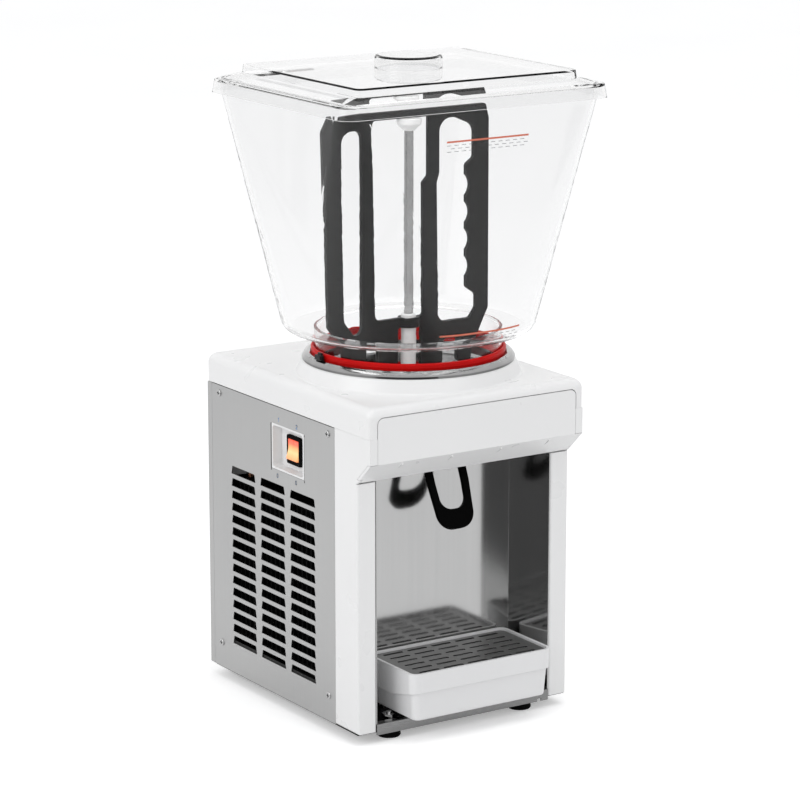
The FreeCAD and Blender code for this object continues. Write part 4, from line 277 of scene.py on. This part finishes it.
@dataclass(frozen=True)
class BrushedSteel:
    """Stainless sheet brushed along one direction."""

    name: str
    brush: Brush
    dark: Tone
    light: Tone
    roughness: float = 0.34
    depth: float = 0.000004
    cloud: float = 6.0
    share: float = 0.5
    relief: float = 0.3
    edge: float = 0.0003

    def build(self) -> bpy.types.Material:
        """Make the material."""
        sheet = NodeSheet(self.name)
        sheet.set(Metallic=1.0)
        lines = sheet.noise(self.brush.value, 4.0, 0.6)
        cloud = sheet.noise(self.cloud, 2.0)
        blend = sheet.add("ShaderNodeMix")
        blend.data_type = "FLOAT"
        blend.inputs[0].default_value = self.share
        sheet.join(lines, blend.inputs[2])
        sheet.join(cloud, blend.inputs[3])
        sheet.tint(blend.outputs[0], self.dark, self.light)
        sheet.spread(lines, self.roughness * 0.9, self.roughness * 1.12,
                     sheet.shader.inputs["Roughness"])
        sheet.bump(lines, self.relief, self.depth, self.edge)
        return sheet.material


@dataclass(frozen=True)
class PolishedMetal:
    """Polished or plated metal with faint wipe marks, and painted shade on faces that look
    sideways or down.
    """

    name: str
    dark: Tone
    light: Tone
    roughness: float
    # brightness that the painted shade leaves on sideways faces; 1.0 paints none
    side: float = 1.0
    cloud: float = 30.0
    wipe: Spot = (40.0, 40.0, 400.0)
    ripple: float = 90.0
    relief: float = 0.05
    depth: float = 0.00001

    def build(self) -> bpy.types.Material:
        """Make the material."""
        sheet = NodeSheet(self.name)
        sheet.set(Metallic=1.0)
        sheet.tint(sheet.noise(self.cloud, 3.0), self.dark, self.light)
        # painted shade: faces that look sideways or down are made darker
        sheet.paint_slope_shade(self.side)
        sheet.spread(sheet.noise(self.wipe), self.roughness * 0.7,
                     self.roughness * 1.3, sheet.shader.inputs["Roughness"])
        sheet.bump(sheet.noise(self.ripple), self.relief, self.depth)
        return sheet.material


@dataclass(frozen=True)
class ClearPlastic:
    """Thin clear polycarbonate.

    Shadow rays pass straight through it, and so do rays that were trapped inside it.
    """

    name: str
    tone: float = 0.94
    cast: float = 0.004
    veil: float = 0.97
    trapped: float = 6.0
    roughness: float = 0.01
    ior: float = 1.22
    cloud: float = 9.0
    sheen: float = 60.0
    ripple: float = 18.0
    relief: float = 0.05
    depth: float = 0.00002

    def build(self) -> bpy.types.Material:
        """Make the material."""
        sheet = NodeSheet(self.name)
        sheet.set(Transmission_Weight=1.0, IOR=self.ior)
        sheet.tint(sheet.noise(self.cloud), grey(self.tone - self.cast),
                   grey(self.tone + self.cast))
        sheet.spread(sheet.noise(self.sheen), self.roughness * 0.6, self.roughness * 1.4,
                     sheet.shader.inputs["Roughness"])
        sheet.bump(sheet.noise(self.ripple, 2.0), self.relief, self.depth)
        path = sheet.add("ShaderNodeLightPath")
        deep = sheet.math("GREATER_THAN", path.outputs["Ray Depth"], self.trapped)
        leave = sheet.math("MAXIMUM", path.outputs["Is Shadow Ray"], deep)
        through = sheet.add("ShaderNodeBsdfTransparent")
        through.inputs["Color"].default_value = (*grey(self.veil), 1.0)
        mix = sheet.add("ShaderNodeMixShader")
        sheet.join(leave, mix.inputs["Fac"])
        sheet.join(sheet.shader.outputs["BSDF"], mix.inputs[1])
        sheet.join(through.outputs["BSDF"], mix.inputs[2])
        sheet.join(mix.outputs["Shader"], sheet.output.inputs["Surface"])
        return sheet.material


@dataclass(frozen=True)
class SoftRubber:
    """Silicone or rubber with a dull sheen."""

    name: str
    dark: Tone
    light: Tone
    roughness: float
    specular: float
    cloud: float = 25.0
    sheen: float = 60.0
    grain: float = 700.0
    relief: float = 0.2
    depth: float = 0.00004

    def build(self) -> bpy.types.Material:
        """Make the material."""
        sheet = NodeSheet(self.name)
        sheet.tint(sheet.noise(self.cloud), self.dark, self.light)
        sheet.set(Specular_IOR_Level=self.specular)
        sheet.spread(sheet.noise(self.sheen), self.roughness * 0.85,
                     self.roughness * 1.15, sheet.shader.inputs["Roughness"])
        sheet.bump(sheet.noise(self.grain), self.relief, self.depth)
        return sheet.material


@dataclass(frozen=True)
class LitRocker:
    """Translucent rocker lit from inside: pale yellow low down, red-orange at both ends."""

    name: str
    low: float
    high: float
    strength: float = 1.0
    unlit: Tone = (0.25, 0.03, 0.01)
    sheen: float = 120.0
    gloss: tuple[float, float] = (0.2, 0.3)
    tones: tuple[tuple[float, Tone], ...] = (
        (0.0, (0.62, 0.06, 0.03)), (0.14, (1.0, 0.50, 0.21)), (0.42, (1.0, 0.74, 0.34)),
        (0.62, (1.0, 0.48, 0.18)), (0.78, (1.0, 0.17, 0.09)), (1.0, (0.80, 0.10, 0.06)))

    def build(self) -> bpy.types.Material:
        """Make the material."""
        sheet = NodeSheet(self.name)
        place = sheet.add("ShaderNodeTexCoord")
        split = sheet.add("ShaderNodeSeparateXYZ")
        sheet.join(place.outputs["Object"], split.inputs["Vector"])
        height = sheet.add("ShaderNodeMapRange")
        height.inputs["From Min"].default_value = self.low
        height.inputs["From Max"].default_value = self.high
        sheet.join(split.outputs["Z"], height.inputs["Value"])
        ramp = sheet.add("ShaderNodeValToRGB")
        rungs = ramp.color_ramp.elements
        rungs[0].position, rungs[-1].position = self.tones[0][0], self.tones[-1][0]
        rungs[0].color = (*self.tones[0][1], 1.0)
        rungs[-1].color = (*self.tones[-1][1], 1.0)
        for spot, tone in self.tones[1:-1]:
            rungs.new(spot).color = (*tone, 1.0)
        sheet.join(height.outputs["Result"], ramp.inputs["Fac"])
        sheet.join(ramp.outputs["Color"], sheet.shader.inputs["Emission Color"])
        sheet.set(Base_Color=(*self.unlit, 1.0), Emission_Strength=self.strength)
        sheet.spread(sheet.noise(self.sheen), *self.gloss, sheet.shader.inputs["Roughness"])
        return sheet.material


@dataclass(frozen=True)
class Ink:
    """Thin printed ink."""

    name: str
    colour: Tone
    roughness: float = 0.5
    speckle: float = 400.0

    def build(self) -> bpy.types.Material:
        """Make the material."""
        sheet = NodeSheet(self.name)
        red, green, blue = (min(1.0, c * 1.1 + 0.01) for c in self.colour)
        sheet.tint(sheet.noise(self.speckle), self.colour, (red, green, blue))
        sheet.set(Roughness=self.roughness)
        return sheet.material


@dataclass
class Finishes:
    """Every finish on the machine, built once."""

    white: bpy.types.Material = field(init=False)
    white_tray: bpy.types.Material = field(init=False)
    panel: bpy.types.Material = field(init=False)
    liner: bpy.types.Material = field(init=False)
    bar: bpy.types.Material = field(init=False)
    grille: bpy.types.Material = field(init=False)
    polished: bpy.types.Material = field(init=False)
    chrome: bpy.types.Material = field(init=False)
    rod: bpy.types.Material = field(init=False)
    zinc: bpy.types.Material = field(init=False)
    clear: bpy.types.Material = field(init=False)
    black: bpy.types.Material = field(init=False)
    lever: bpy.types.Material = field(init=False)
    fin: bpy.types.Material = field(init=False)
    paint: bpy.types.Material = field(init=False)
    silicone: bpy.types.Material = field(init=False)
    rubber: bpy.types.Material = field(init=False)
    copper: bpy.types.Material = field(init=False)
    foam: bpy.types.Material = field(init=False)
    red_ink: bpy.types.Material = field(init=False)
    grey_ink: bpy.types.Material = field(init=False)
    blue_ink: bpy.types.Material = field(init=False)

    def __post_init__(self) -> None:
        """Build them."""
        self.white = MouldedPlastic(
            "white_moulding", grey(0.80), grey(0.815), depth=0.000002).build()
        self.white_tray = MouldedPlastic(
            "white_tray", (0.75, 0.75, 0.755), (0.77, 0.77, 0.775), roughness=0.34).build()
        self.panel = BrushedSteel(
            "panel_steel", Brush.ALONG_Z, grey(0.43), (0.47, 0.47, 0.467)).build()
        self.liner = BrushedSteel(
            "liner_steel", Brush.ALONG_Z, grey(0.44), (0.48, 0.48, 0.477),
            roughness=0.11, depth=0.000002).build()
        self.bar = BrushedSteel(
            "bar_steel", Brush.ALONG_X, grey(0.21), grey(0.26), roughness=0.26).build()
        self.grille = BrushedSteel(
            "grille_steel", Brush.ALONG_X, grey(0.16), grey(0.22), roughness=0.3).build()
        # these three finishes carry painted shade on their sideways faces (side below 1)
        self.polished = PolishedMetal(
            "polished_steel", grey(0.56), grey(0.66), roughness=0.07, side=0.8).build()
        self.chrome = PolishedMetal(
            "polished_pan", grey(0.36), grey(0.46), roughness=0.07, side=0.42).build()
        self.rod = PolishedMetal(
            "rod_steel", grey(0.50), grey(0.58), roughness=0.1, side=0.62).build()
        self.zinc = PolishedMetal(
            "zinc_plate", (0.45, 0.46, 0.47), (0.6, 0.61, 0.62), roughness=0.34).build()
        self.clear = ClearPlastic("clear_polycarbonate").build()
        self.black = MouldedPlastic(
            "black_moulding", grey(0.014), grey(0.018), roughness=0.42, grain=500.0,
            depth=0.000002, specular=0.16).build()
        self.lever = MouldedPlastic(
            "lever_black", grey(0.0006), grey(0.0012), grain=500.0, depth=0.000002,
            specular=0.02).build()
        self.fin = MouldedPlastic(
            "fin_coating", grey(0.003), grey(0.005), roughness=0.7, grain=300.0,
            specular=0.03, edge=0.0).build()
        self.paint = MouldedPlastic(
            "black_paint", grey(0.006), grey(0.011), roughness=0.45, grain=500.0,
            specular=0.15).build()
        self.silicone = SoftRubber(
            "red_silicone", (0.46, 0.002, 0.002), (0.56, 0.003, 0.003),
            roughness=0.45, specular=0.1).build()
        self.rubber = SoftRubber(
            "black_rubber", grey(0.002), grey(0.004), roughness=0.7, specular=0.04).build()
        self.copper = PolishedMetal(
            "copper_tube", (0.6, 0.27, 0.16), (0.75, 0.38, 0.24), roughness=0.3).build()
        self.foam = MouldedPlastic(
            "foam", (0.62, 0.56, 0.36), (0.74, 0.68, 0.46), roughness=0.8, grain=220.0,
            depth=0.0008).build()
        self.red_ink = Ink("orange_red_ink", (0.58, 0.14, 0.08)).build()
        self.grey_ink = Ink("grey_ink", (0.07, 0.07, 0.08)).build()
        self.blue_ink = Ink("blue_ink", (0.10, 0.22, 0.45)).build()


def dress(node: str, material: bpy.types.Material) -> None:
    """Give a CAD node a material on every slot.

    Args:
        node: the node's name.
        material: the finish.
    """
    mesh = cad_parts[node].data
    mesh.materials.clear()
    mesh.materials.append(material)
    LOG.info("dressed %s with %s", node, material.name)


def make_piece(name: str, build: Callable[[bmesh.types.BMesh], None], body: str,
               material: bpy.types.Material) -> bpy.types.Object:
    """Make a mesh piece that rides on a body.

    Args:
        name: the piece's name.
        build: fills the mesh.
        body: the body it moves with.
        material: its finish.

    Returns:
        The object.
    """
    mesh = bpy.data.meshes.new(name)
    bm = bmesh.new()
    build(bm)
    bmesh.ops.recalc_face_normals(bm, faces=bm.faces)
    bm.to_mesh(mesh)
    bm.free()
    piece = bpy.data.objects.new(name, mesh)
    bpy.context.scene.collection.objects.link(piece)
    mesh.materials.append(material)
    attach(piece, body)
    LOG.info("made %s on %s", name, body)
    return piece


def stage_sheet(name: str, mesh: bpy.types.Mesh,
                material: bpy.types.Material) -> bpy.types.Object:
    """Put a studio mesh into the scene.

    Args:
        name: its name.
        mesh: its shape.
        material: its finish.

    Returns:
        The object.
    """
    mesh.materials.append(material)
    thing = bpy.data.objects.new(name, mesh)
    bpy.context.scene.collection.objects.link(thing)
    return thing


def slab(bm: bmesh.types.BMesh, corners: Sequence[Vector], thickness: Vector) -> None:
    """Add a closed slab from a planar outline.

    Args:
        bm: the mesh.
        corners: the outline, in order.
        thickness: offset to the other face.
    """
    low = [bm.verts.new(c) for c in corners]
    high = [bm.verts.new(c + thickness) for c in corners]
    bm.faces.new(low)
    bm.faces.new(list(reversed(high)))
    count = len(corners)
    for i in range(count):
        j = (i + 1) % count
        bm.faces.new((low[j], low[i], high[i], high[j]))


# ---------------------------------------------------------------------------
# sub-assemblies
# ---------------------------------------------------------------------------
@dataclass
class Cabinet:
    """Steel cabinet with its white front frame, panels, screws and feet."""

    finishes: Finishes
    # size of the painted dark crosses that stand for the shade in the screws' recesses
    recess: float = 0.0022
    recess_arm: float = 0.0005
    recess_proud: float = 0.00012
    head_face: float = 131.36
    screws: tuple[tuple[float, float], ...] = ((56.5, 27.5), (56.5, 305.0), (275.5, 27.5),
                                               (275.5, 305.0))

    def screw_recess_shade(self, name: str, centre: Vector, out: Vector) -> bpy.types.Object:
        """Painted shade of the cross recess on a screw head, as a flat dark cross.

        Args:
            name: the piece's name.
            centre: middle of the head's outer face.
            out: direction out of the head.

        Returns:
            The painted cross, a hair above the head.
        """
        side = Vector((0, 0, 1))
        other = out.cross(side).normalized()
        long, arm = self.recess, self.recess_arm

        def build(bm: bmesh.types.BMesh) -> None:
            """A twelve-cornered cross."""
            spots = [(arm, long), (arm, arm), (long, arm), (long, -arm), (arm, -arm),
                     (arm, -long), (-arm, -long), (-arm, -arm), (-long, -arm), (-long, arm),
                     (-arm, arm), (-arm, long)]
            slab(bm, [centre + other * a + side * b for a, b in spots],
                 out * self.recess_proud)

        return make_piece(name, build, "cabinet", self.finishes.paint)

    def dress(self) -> None:
        """Finish the cabinet's nodes and add the painted shade of the screw recesses."""
        f = self.finishes
        for node in ("front_frame", "front_panel", "switch_well"):
            dress(node, f.white)
        for node in ("left_panel", "right_panel", "rear_panel"):
            dress(node, f.panel)
        dress("front_bar", f.bar)
        dress("tray_rails", f.bar)
        dress("recess_liner", f.liner)
        dress("base_pan", f.paint)
        dress("deck_plate", f.zinc)
        dress("panel_screws", f.polished)
        dress("foot_studs", f.polished)
        dress("rubber_feet", f.rubber)
        dress("power_gland", f.black)
        for side, sign in (("left", -1), ("right", 1)):
            # painted shade: a dark cross on each side-panel screw head
            for i, (y, z) in enumerate(self.screws):
                self.screw_recess_shade(f"screw_recess_shade_{side}_{i}",
                                  at(sign * self.head_face, y, z), Vector((sign, 0, 0)))


@dataclass
class Cooling:
    """Compressor, condenser, fan and pipework seen through the louvres."""

    finishes: Finishes

    def dress(self) -> None:
        """Finish the machinery's nodes."""
        f = self.finishes
        for node in ("compressor", "stirrer_motor", "fan_motor"):
            dress(node, f.paint)
        for node in ("terminal_box", "thermostat", "relay_box", "fan_shroud", "fan_rotor"):
            dress(node, f.black)
        dress("condenser", f.fin)
        dress("compressor_mounts", f.rubber)
        for node in ("evaporator_coil", "discharge_line", "suction_line", "filter_drier"):
            dress(node, f.copper)
        dress("pan_insulation", f.foam)


@dataclass
class Top:
    """Hood, cooling pan, gasket and the drive post."""

    finishes: Finishes

    def dress(self) -> None:
        """Finish the nodes round the pan."""
        f = self.finishes
        dress("hood", f.white)
        dress("cooling_pan", f.chrome)
        dress("pan_gasket", f.silicone)
        dress("locating_clip", f.black)
        dress("drive_post", f.white)
        dress("outlet_tube", f.polished)


@dataclass
class Stirrer:
    """Rod, cap and two-wing stirrer."""

    finishes: Finishes

    def dress(self) -> None:
        """Finish the stirrer's nodes."""
        f = self.finishes
        dress("stirrer_paddle", f.black)
        dress("drive_rod", f.rod)
        dress("rod_cap", f.white)
        dress("drive_coupling", f.white)


@dataclass
class Tank:
    """Clear tank and lid with the printed level marks."""

    finishes: Finishes
    axis: float = 106.0
    floor: float = 392.0
    rim: float = 634.0
    rim_half_x: float = 156.5
    rim_half_y: float = 129.3
    corner: float = 26.0
    foot_half: float = 130.0
    foot_flat: float = 1.0
    max_line: float = 605.0
    max_dashes: float = 601.6
    max_span: tuple[float, float] = (-39.2, 59.2)
    min_line: float = 409.0
    min_dashes: float = 405.6
    min_span: tuple[float, float] = (-44.4, 55.3)
    line_height: float = 1.8
    line_facets: int = 24
    rows: int = 3
    row_pitch: float = 3.1
    dash: float = 5.0
    dash_height: float = 0.45
    dash_facets: int = 3
    gap: float = 3.8
    proud: float = 0.15
    ink: float = 0.1

    def on_wall(self, x: float, z: float) -> Vector:
        """Point on the tank's front, a hair in front of it.

        The wall runs from a circle at its foot to a rounded rectangle at the rim, and the
        front of that rectangle is flat between its corners.

        Args:
            x: millimetres from the middle.
            z: height in millimetres.

        Returns:
            The point in metres.
        """
        share = (z - self.floor) / (self.rim - self.floor)
        flat = self.foot_flat + share * (self.rim_half_x - self.corner - self.foot_flat)
        front = self.foot_half + share * (self.rim_half_y - self.foot_half)
        turn = self.foot_half - self.foot_flat
        turn += share * (self.corner - turn)
        beyond = max(0.0, abs(x) - flat)
        drop = turn - math.sqrt(turn * turn - beyond * beyond)
        return at(x, self.axis - front + drop - self.proud, z)

    def add_strip(self, bm: bmesh.types.BMesh, x0: float, x1: float, z0: float, z1: float,
                  steps: int) -> None:
        """Add one printed strip that follows the wall.

        Args:
            bm: the mesh.
            x0: left end.
            x1: right end.
            z0: lower edge.
            z1: upper edge.
            steps: facets along the strip.
        """
        inward = Vector((0, self.ink / MM, 0))
        spots = [x0 + (x1 - x0) * i / steps for i in range(steps + 1)]
        for a, b in zip(spots, spots[1:]):
            corners = [self.on_wall(a, z0), self.on_wall(b, z0), self.on_wall(b, z1),
                       self.on_wall(a, z1)]
            slab(bm, corners, inward)

    def line(self, name: str, z: float, span: tuple[float, float]) -> None:
        """A red level line across the front wall.

        Args:
            name: the piece's name.
            z: its middle.
            span: its two ends.
        """
        half = self.line_height / 2

        def build(bm: bmesh.types.BMesh) -> None:
            """One strip in short facets."""
            self.add_strip(bm, span[0], span[1], z - half, z + half, self.line_facets)

        make_piece(name, build, "tank", self.finishes.red_ink)

    def dashes(self, name: str, top: float, span: tuple[float, float]) -> None:
        """Rows of short grey dashes under a level line, each row set off from the last.

        Args:
            name: the piece's name.
            top: height of the first row.
            span: the ends of the rows.
        """
        def build(bm: bmesh.types.BMesh) -> None:
            """All dashes in one mesh."""
            for row in range(self.rows):
                z = top - row * self.row_pitch
                x = span[0] + (row % 2) * (self.dash + self.gap) / 2
                while x < span[1] - self.dash:
                    self.add_strip(bm, x, x + self.dash, z - self.dash_height, z,
                                   self.dash_facets)
                    x += self.dash + self.gap

        make_piece(name, build, "tank", self.finishes.grey_ink)

    def dress(self) -> None:
        """Finish tank and lid and print the marks."""
        f = self.finishes
        dress("tank", f.clear)
        dress("lid", f.clear)
        self.line("max_level_line", self.max_line, self.max_span)
        self.dashes("max_level_dashes", self.max_dashes, self.max_span)
        self.line("min_level_line", self.min_line, self.min_span)
        self.dashes("min_level_dashes", self.min_dashes, self.min_span)


@dataclass
class CupBay:
    """Drip tray, grille, lever and valve."""

    finishes: Finishes

    def dress(self) -> None:
        """Finish the nodes of the cup bay."""
        f = self.finishes
        dress("drip_tray", f.white_tray)
        dress("drip_grille", f.grille)
        dress("push_lever", f.lever)
        dress("valve_body", f.white)
        for node in ("valve_stem", "lever_pin", "lever_spring"):
            dress(node, f.polished)


@dataclass
class Switch:
    """Twin lit rocker switch in its white well, with plain numbers round it and painted
    shadow in the gaps round the well.
    """

    finishes: Finishes
    wall: float = -130.0
    well_front: float = 102.5
    well_back: float = 167.5
    well_low: float = 244.5
    well_high: float = 293.5
    rocker_low: float = 257.0
    rocker_high: float = 281.0
    # widths of the painted shadow in the gaps round the well, and its wider spots at the
    # well's corners
    front_shadow_gap: float = 0.5
    rear_shadow_gap: float = 1.3
    end_shadow_gap: float = 0.8
    shadow_notch: float = 0.9
    notch_height: float = 2.0
    digit_height: float = 4.4
    stroke: float = 0.85
    proud: float = 0.03
    ink: float = 0.02
    digits: tuple[tuple[str, float, float], ...] = (
        ("one", 152.6, 300.3), ("two", 116.9, 299.8), ("zero", 155.6, 239.9),
        ("zero", 118.6, 240.2))

    def on_panel(self, y: float, z: float) -> Vector:
        """Point a hair outside the left panel."""
        return at(self.wall - self.proud, y, z)

    def path(self, digit: str) -> list[tuple[float, float]]:
        """Stroke of a digit in a box one high, running right and up.

        Args:
            digit: its name.

        Returns:
            The corners of the stroke.
        """
        if digit == "one":
            return [(-0.18, 0.26), (0.06, 0.46), (0.06, -0.46)]
        if digit == "two":
            bow = [(0.28 * math.cos(math.radians(a)), 0.2 + 0.26 * math.sin(math.radians(a)))
                   for a in range(165, -46, -30)]
            return bow + [(-0.28, -0.46), (0.3, -0.46)]
        return [(0.29 * math.sin(math.radians(a)), 0.46 * math.cos(math.radians(a)))
                for a in range(0, 361, 24)]

    def digit(self, name: str, digit: str, y: float, z: float) -> None:
        """Print a digit on the left panel.

        Args:
            name: the piece's name.
            digit: which one.
            y: its middle.
            z: its middle.
        """
        size = self.digit_height
        half = self.stroke / 2

        def build(bm: bmesh.types.BMesh) -> None:
            """One short slab for each leg of the stroke."""
            spots = [(y - u * size, z + v * size) for u, v in self.path(digit)]
            for (y0, z0), (y1, z1) in zip(spots, spots[1:]):
                length = math.hypot(y1 - y0, z1 - z0)
                along = ((y1 - y0) / length * half * 0.8, (z1 - z0) / length * half * 0.8)
                across = (-(z1 - z0) / length * half, (y1 - y0) / length * half)
                ends = [(y0 - along[0], z0 - along[1]), (y1 + along[0], z1 + along[1])]
                corners = [self.on_panel(ends[0][0] - across[0], ends[0][1] - across[1]),
                           self.on_panel(ends[1][0] - across[0], ends[1][1] - across[1]),
                           self.on_panel(ends[1][0] + across[0], ends[1][1] + across[1]),
                           self.on_panel(ends[0][0] + across[0], ends[0][1] + across[1])]
                slab(bm, corners, Vector((self.ink / MM, 0, 0)))

        make_piece(name, build, "cabinet", self.finishes.blue_ink)

    def gap(self, name: str, y0: float, y1: float, shadow_notch: float) -> None:
        """Painted shadow in the gap between the panel's cut-out and the well, as a dark
        strip on the panel.

        Args:
            name: the piece's name.
            y0: front edge.
            y1: rear edge.
            shadow_notch: how much wider it is at its ends, towards the front.
        """
        low, high = self.well_low - self.end_shadow_gap, self.well_high + self.end_shadow_gap
        wide_low, wide_high = low + self.notch_height, high - self.notch_height

        def build(bm: bmesh.types.BMesh) -> None:
            """A strip with a wider spot at each end."""
            spots = [(y1, low), (y1, high), (y0 - shadow_notch, high), (y0 - shadow_notch, wide_high),
                     (y0, wide_high), (y0, wide_low), (y0 - shadow_notch, wide_low),
                     (y0 - shadow_notch, low)]
            slab(bm, [self.on_panel(y, z) for y, z in spots],
                 Vector((self.ink / MM, 0, 0)))

        make_piece(name, build, "cabinet", self.finishes.paint)

    def dress(self) -> None:
        """Finish housing and rockers, print the numbers and paint the shadow in the gaps
        round the well.
        """
        dress("switch_housing", self.finishes.fin)
        low, high = at(0, 0, self.rocker_low).z, at(0, 0, self.rocker_high).z
        for node in ("rocker_front", "rocker_rear"):
            dress(node, LitRocker(f"lit_{node}", low, high).build())
        for i, (digit, y, z) in enumerate(self.digits):
            self.digit(f"switch_number_{i}", digit, y, z)
        # painted shadow: dark strips in the gaps at the well's front and rear edges
        self.gap("well_shadow_gap_front", self.well_front - self.front_shadow_gap, self.well_front,
                 self.shadow_notch)
        self.gap("well_shadow_gap_rear", self.well_back, self.well_back + self.rear_shadow_gap, 0.0)


# ---------------------------------------------------------------------------
# studio
# ---------------------------------------------------------------------------
@dataclass(frozen=True)
class Softbox:
    """A square soft lamp."""

    name: str
    spot: Spot
    size: float
    power: float


@dataclass
class Studio:
    """White floor and backdrop light, soft lamps and the camera."""

    eye: Spot = (-1837.4, -2705.6, 1103.1)
    turn: float = -33.017
    tilt: float = 76.777
    lens: float = 148.72
    sensor: float = 36.0
    reach: float = 60.0
    sky: Tone = (0.985, 0.99, 1.0)
    ambient: float = 0.74
    paper_size: float = 14.0
    paper_dark: float = 0.86
    paper_light: float = 0.88
    paper_lift: float = 0.345
    mirror_lift: float = 0.2
    flag_low: Spot = (-1.6, -1.9, 0.004)
    flag_high: Spot = (-0.06, -0.30, 0.004)
    flag_dark: float = 0.17
    flag_light: float = 0.2
    aim: Spot = (0.0, 0.0, 0.3)
    lamps: tuple[Softbox, ...] = (
        Softbox("left_softbox", (-2.2, -0.2, 1.4), 1.4, 14.5),
        Softbox("top_softbox", (0.2, -0.4, 2.4), 1.6, 11.5),
        Softbox("front_softbox", (0.5, -2.6, 1.5), 1.6, 7.5))

    def camera(self) -> None:
        """Place the camera where the photograph was taken from."""
        data = bpy.data.cameras.new("camera")
        data.lens = self.lens
        data.sensor_width = self.sensor
        data.clip_end = self.reach
        thing = bpy.data.objects.new("camera", data)
        thing.location = at(*self.eye)
        thing.rotation_euler = (math.radians(self.tilt), 0.0, math.radians(self.turn))
        bpy.context.scene.collection.objects.link(thing)
        bpy.context.scene.camera = thing

    def world(self) -> None:
        """Plain world light; camera, mirror and clear-piece rays see white."""
        world = bpy.data.worlds.new("studio")
        world.use_nodes = True
        tree = world.node_tree
        tree.nodes.clear()
        out = tree.nodes.new("ShaderNodeOutputWorld")
        plain = tree.nodes.new("ShaderNodeBackground")
        plain.inputs["Color"].default_value = (*self.sky, 1.0)
        plain.inputs["Strength"].default_value = self.ambient
        white = tree.nodes.new("ShaderNodeBackground")
        white.inputs["Color"].default_value = (*grey(1.0), 1.0)
        white.inputs["Strength"].default_value = 1.0
        path = tree.nodes.new("ShaderNodeLightPath")
        either = tree.nodes.new("ShaderNodeMath")
        either.operation = "MAXIMUM"
        tree.links.new(path.outputs["Is Camera Ray"], either.inputs[0])
        tree.links.new(path.outputs["Is Transmission Ray"], either.inputs[1])
        mirror = tree.nodes.new("ShaderNodeMath")
        mirror.operation = "MAXIMUM"
        tree.links.new(either.outputs["Value"], mirror.inputs[0])
        tree.links.new(path.outputs["Is Glossy Ray"], mirror.inputs[1])
        mix = tree.nodes.new("ShaderNodeMixShader")
        tree.links.new(mirror.outputs["Value"], mix.inputs["Fac"])
        tree.links.new(plain.outputs["Background"], mix.inputs[1])
        tree.links.new(white.outputs["Background"], mix.inputs[2])
        tree.links.new(mix.outputs["Shader"], out.inputs["Surface"])
        bpy.context.scene.world = world

    def floor(self) -> None:
        """Large white floor that keeps the machine's soft shadow.

        Camera and clear-piece rays see the paper lifted to plain white, and mirrors see it
        lifted less.
        """
        sheet = NodeSheet("floor_paper")
        sheet.tint(sheet.noise(2.0), grey(self.paper_dark), grey(self.paper_light))
        sheet.set(Roughness=0.9, Specular_IOR_Level=0.1, Emission_Color=(*grey(1.0), 1.0))
        path = sheet.add("ShaderNodeLightPath")
        seen = sheet.math("MAXIMUM", path.outputs["Is Camera Ray"],
                          path.outputs["Is Transmission Ray"])
        lift = sheet.math("MULTIPLY", seen, self.paper_lift)
        mirror = sheet.math("MULTIPLY", path.outputs["Is Glossy Ray"], self.mirror_lift)
        sheet.join(sheet.math("MAXIMUM", lift, mirror),
                   sheet.shader.inputs["Emission Strength"])
        mesh = bpy.data.meshes.new("floor")
        bm = bmesh.new()
        bmesh.ops.create_grid(bm, x_segments=1, y_segments=1, size=self.paper_size)
        bm.to_mesh(mesh)
        bm.free()
        stage_sheet("floor", mesh, sheet.material)

    def flag(self, name: str) -> None:
        """A grey card on the floor that only mirrors see.

        Args:
            name: the card's name.
        """
        sheet = NodeSheet(name)
        sheet.tint(sheet.noise(5.0), grey(self.flag_dark), grey(self.flag_light))
        sheet.set(Roughness=1.0, Specular_IOR_Level=0.0)
        mesh = bpy.data.meshes.new(name)
        bm = bmesh.new()
        low, high = self.flag_low, self.flag_high
        spots = [low, (high[0], low[1], low[2]), high, (low[0], high[1], high[2])]
        bm.faces.new([bm.verts.new(spot) for spot in spots])
        bm.to_mesh(mesh)
        bm.free()
        card = stage_sheet(name, mesh, sheet.material)
        card.visible_camera = False
        card.visible_diffuse = False
        card.visible_shadow = False
        card.visible_transmission = False

    def lamp(self, lamp: Softbox) -> None:
        """Hang a soft lamp and aim it at the machine.

        Args:
            lamp: the lamp.
        """
        data = bpy.data.lights.new(lamp.name, "AREA")
        data.shape = "SQUARE"
        data.size = lamp.size
        data.energy = lamp.power
        thing = bpy.data.objects.new(lamp.name, data)
        thing.location = lamp.spot
        aim = Vector(self.aim) - Vector(lamp.spot)
        thing.rotation_euler = aim.to_track_quat("-Z", "Y").to_euler()
        bpy.context.scene.collection.objects.link(thing)

    def build(self) -> None:
        """Camera, world, floor and lamps."""
        self.camera()
        self.world()
        self.floor()
        self.flag("floor_flag")
        for lamp in self.lamps:
            self.lamp(lamp)
        bpy.context.scene.view_settings.view_transform = "Standard"


def main() -> None:
    """Build every sub-assembly in order, then the studio."""
    logging.basicConfig(level=logging.INFO, format="%(name)s: %(message)s")
    finishes = Finishes()
    for part in (Cabinet, Cooling, Top, Stirrer, Tank, CupBay, Switch):
        part(finishes).dress()
    Studio().build()


if __name__ == "__main__":
    main()
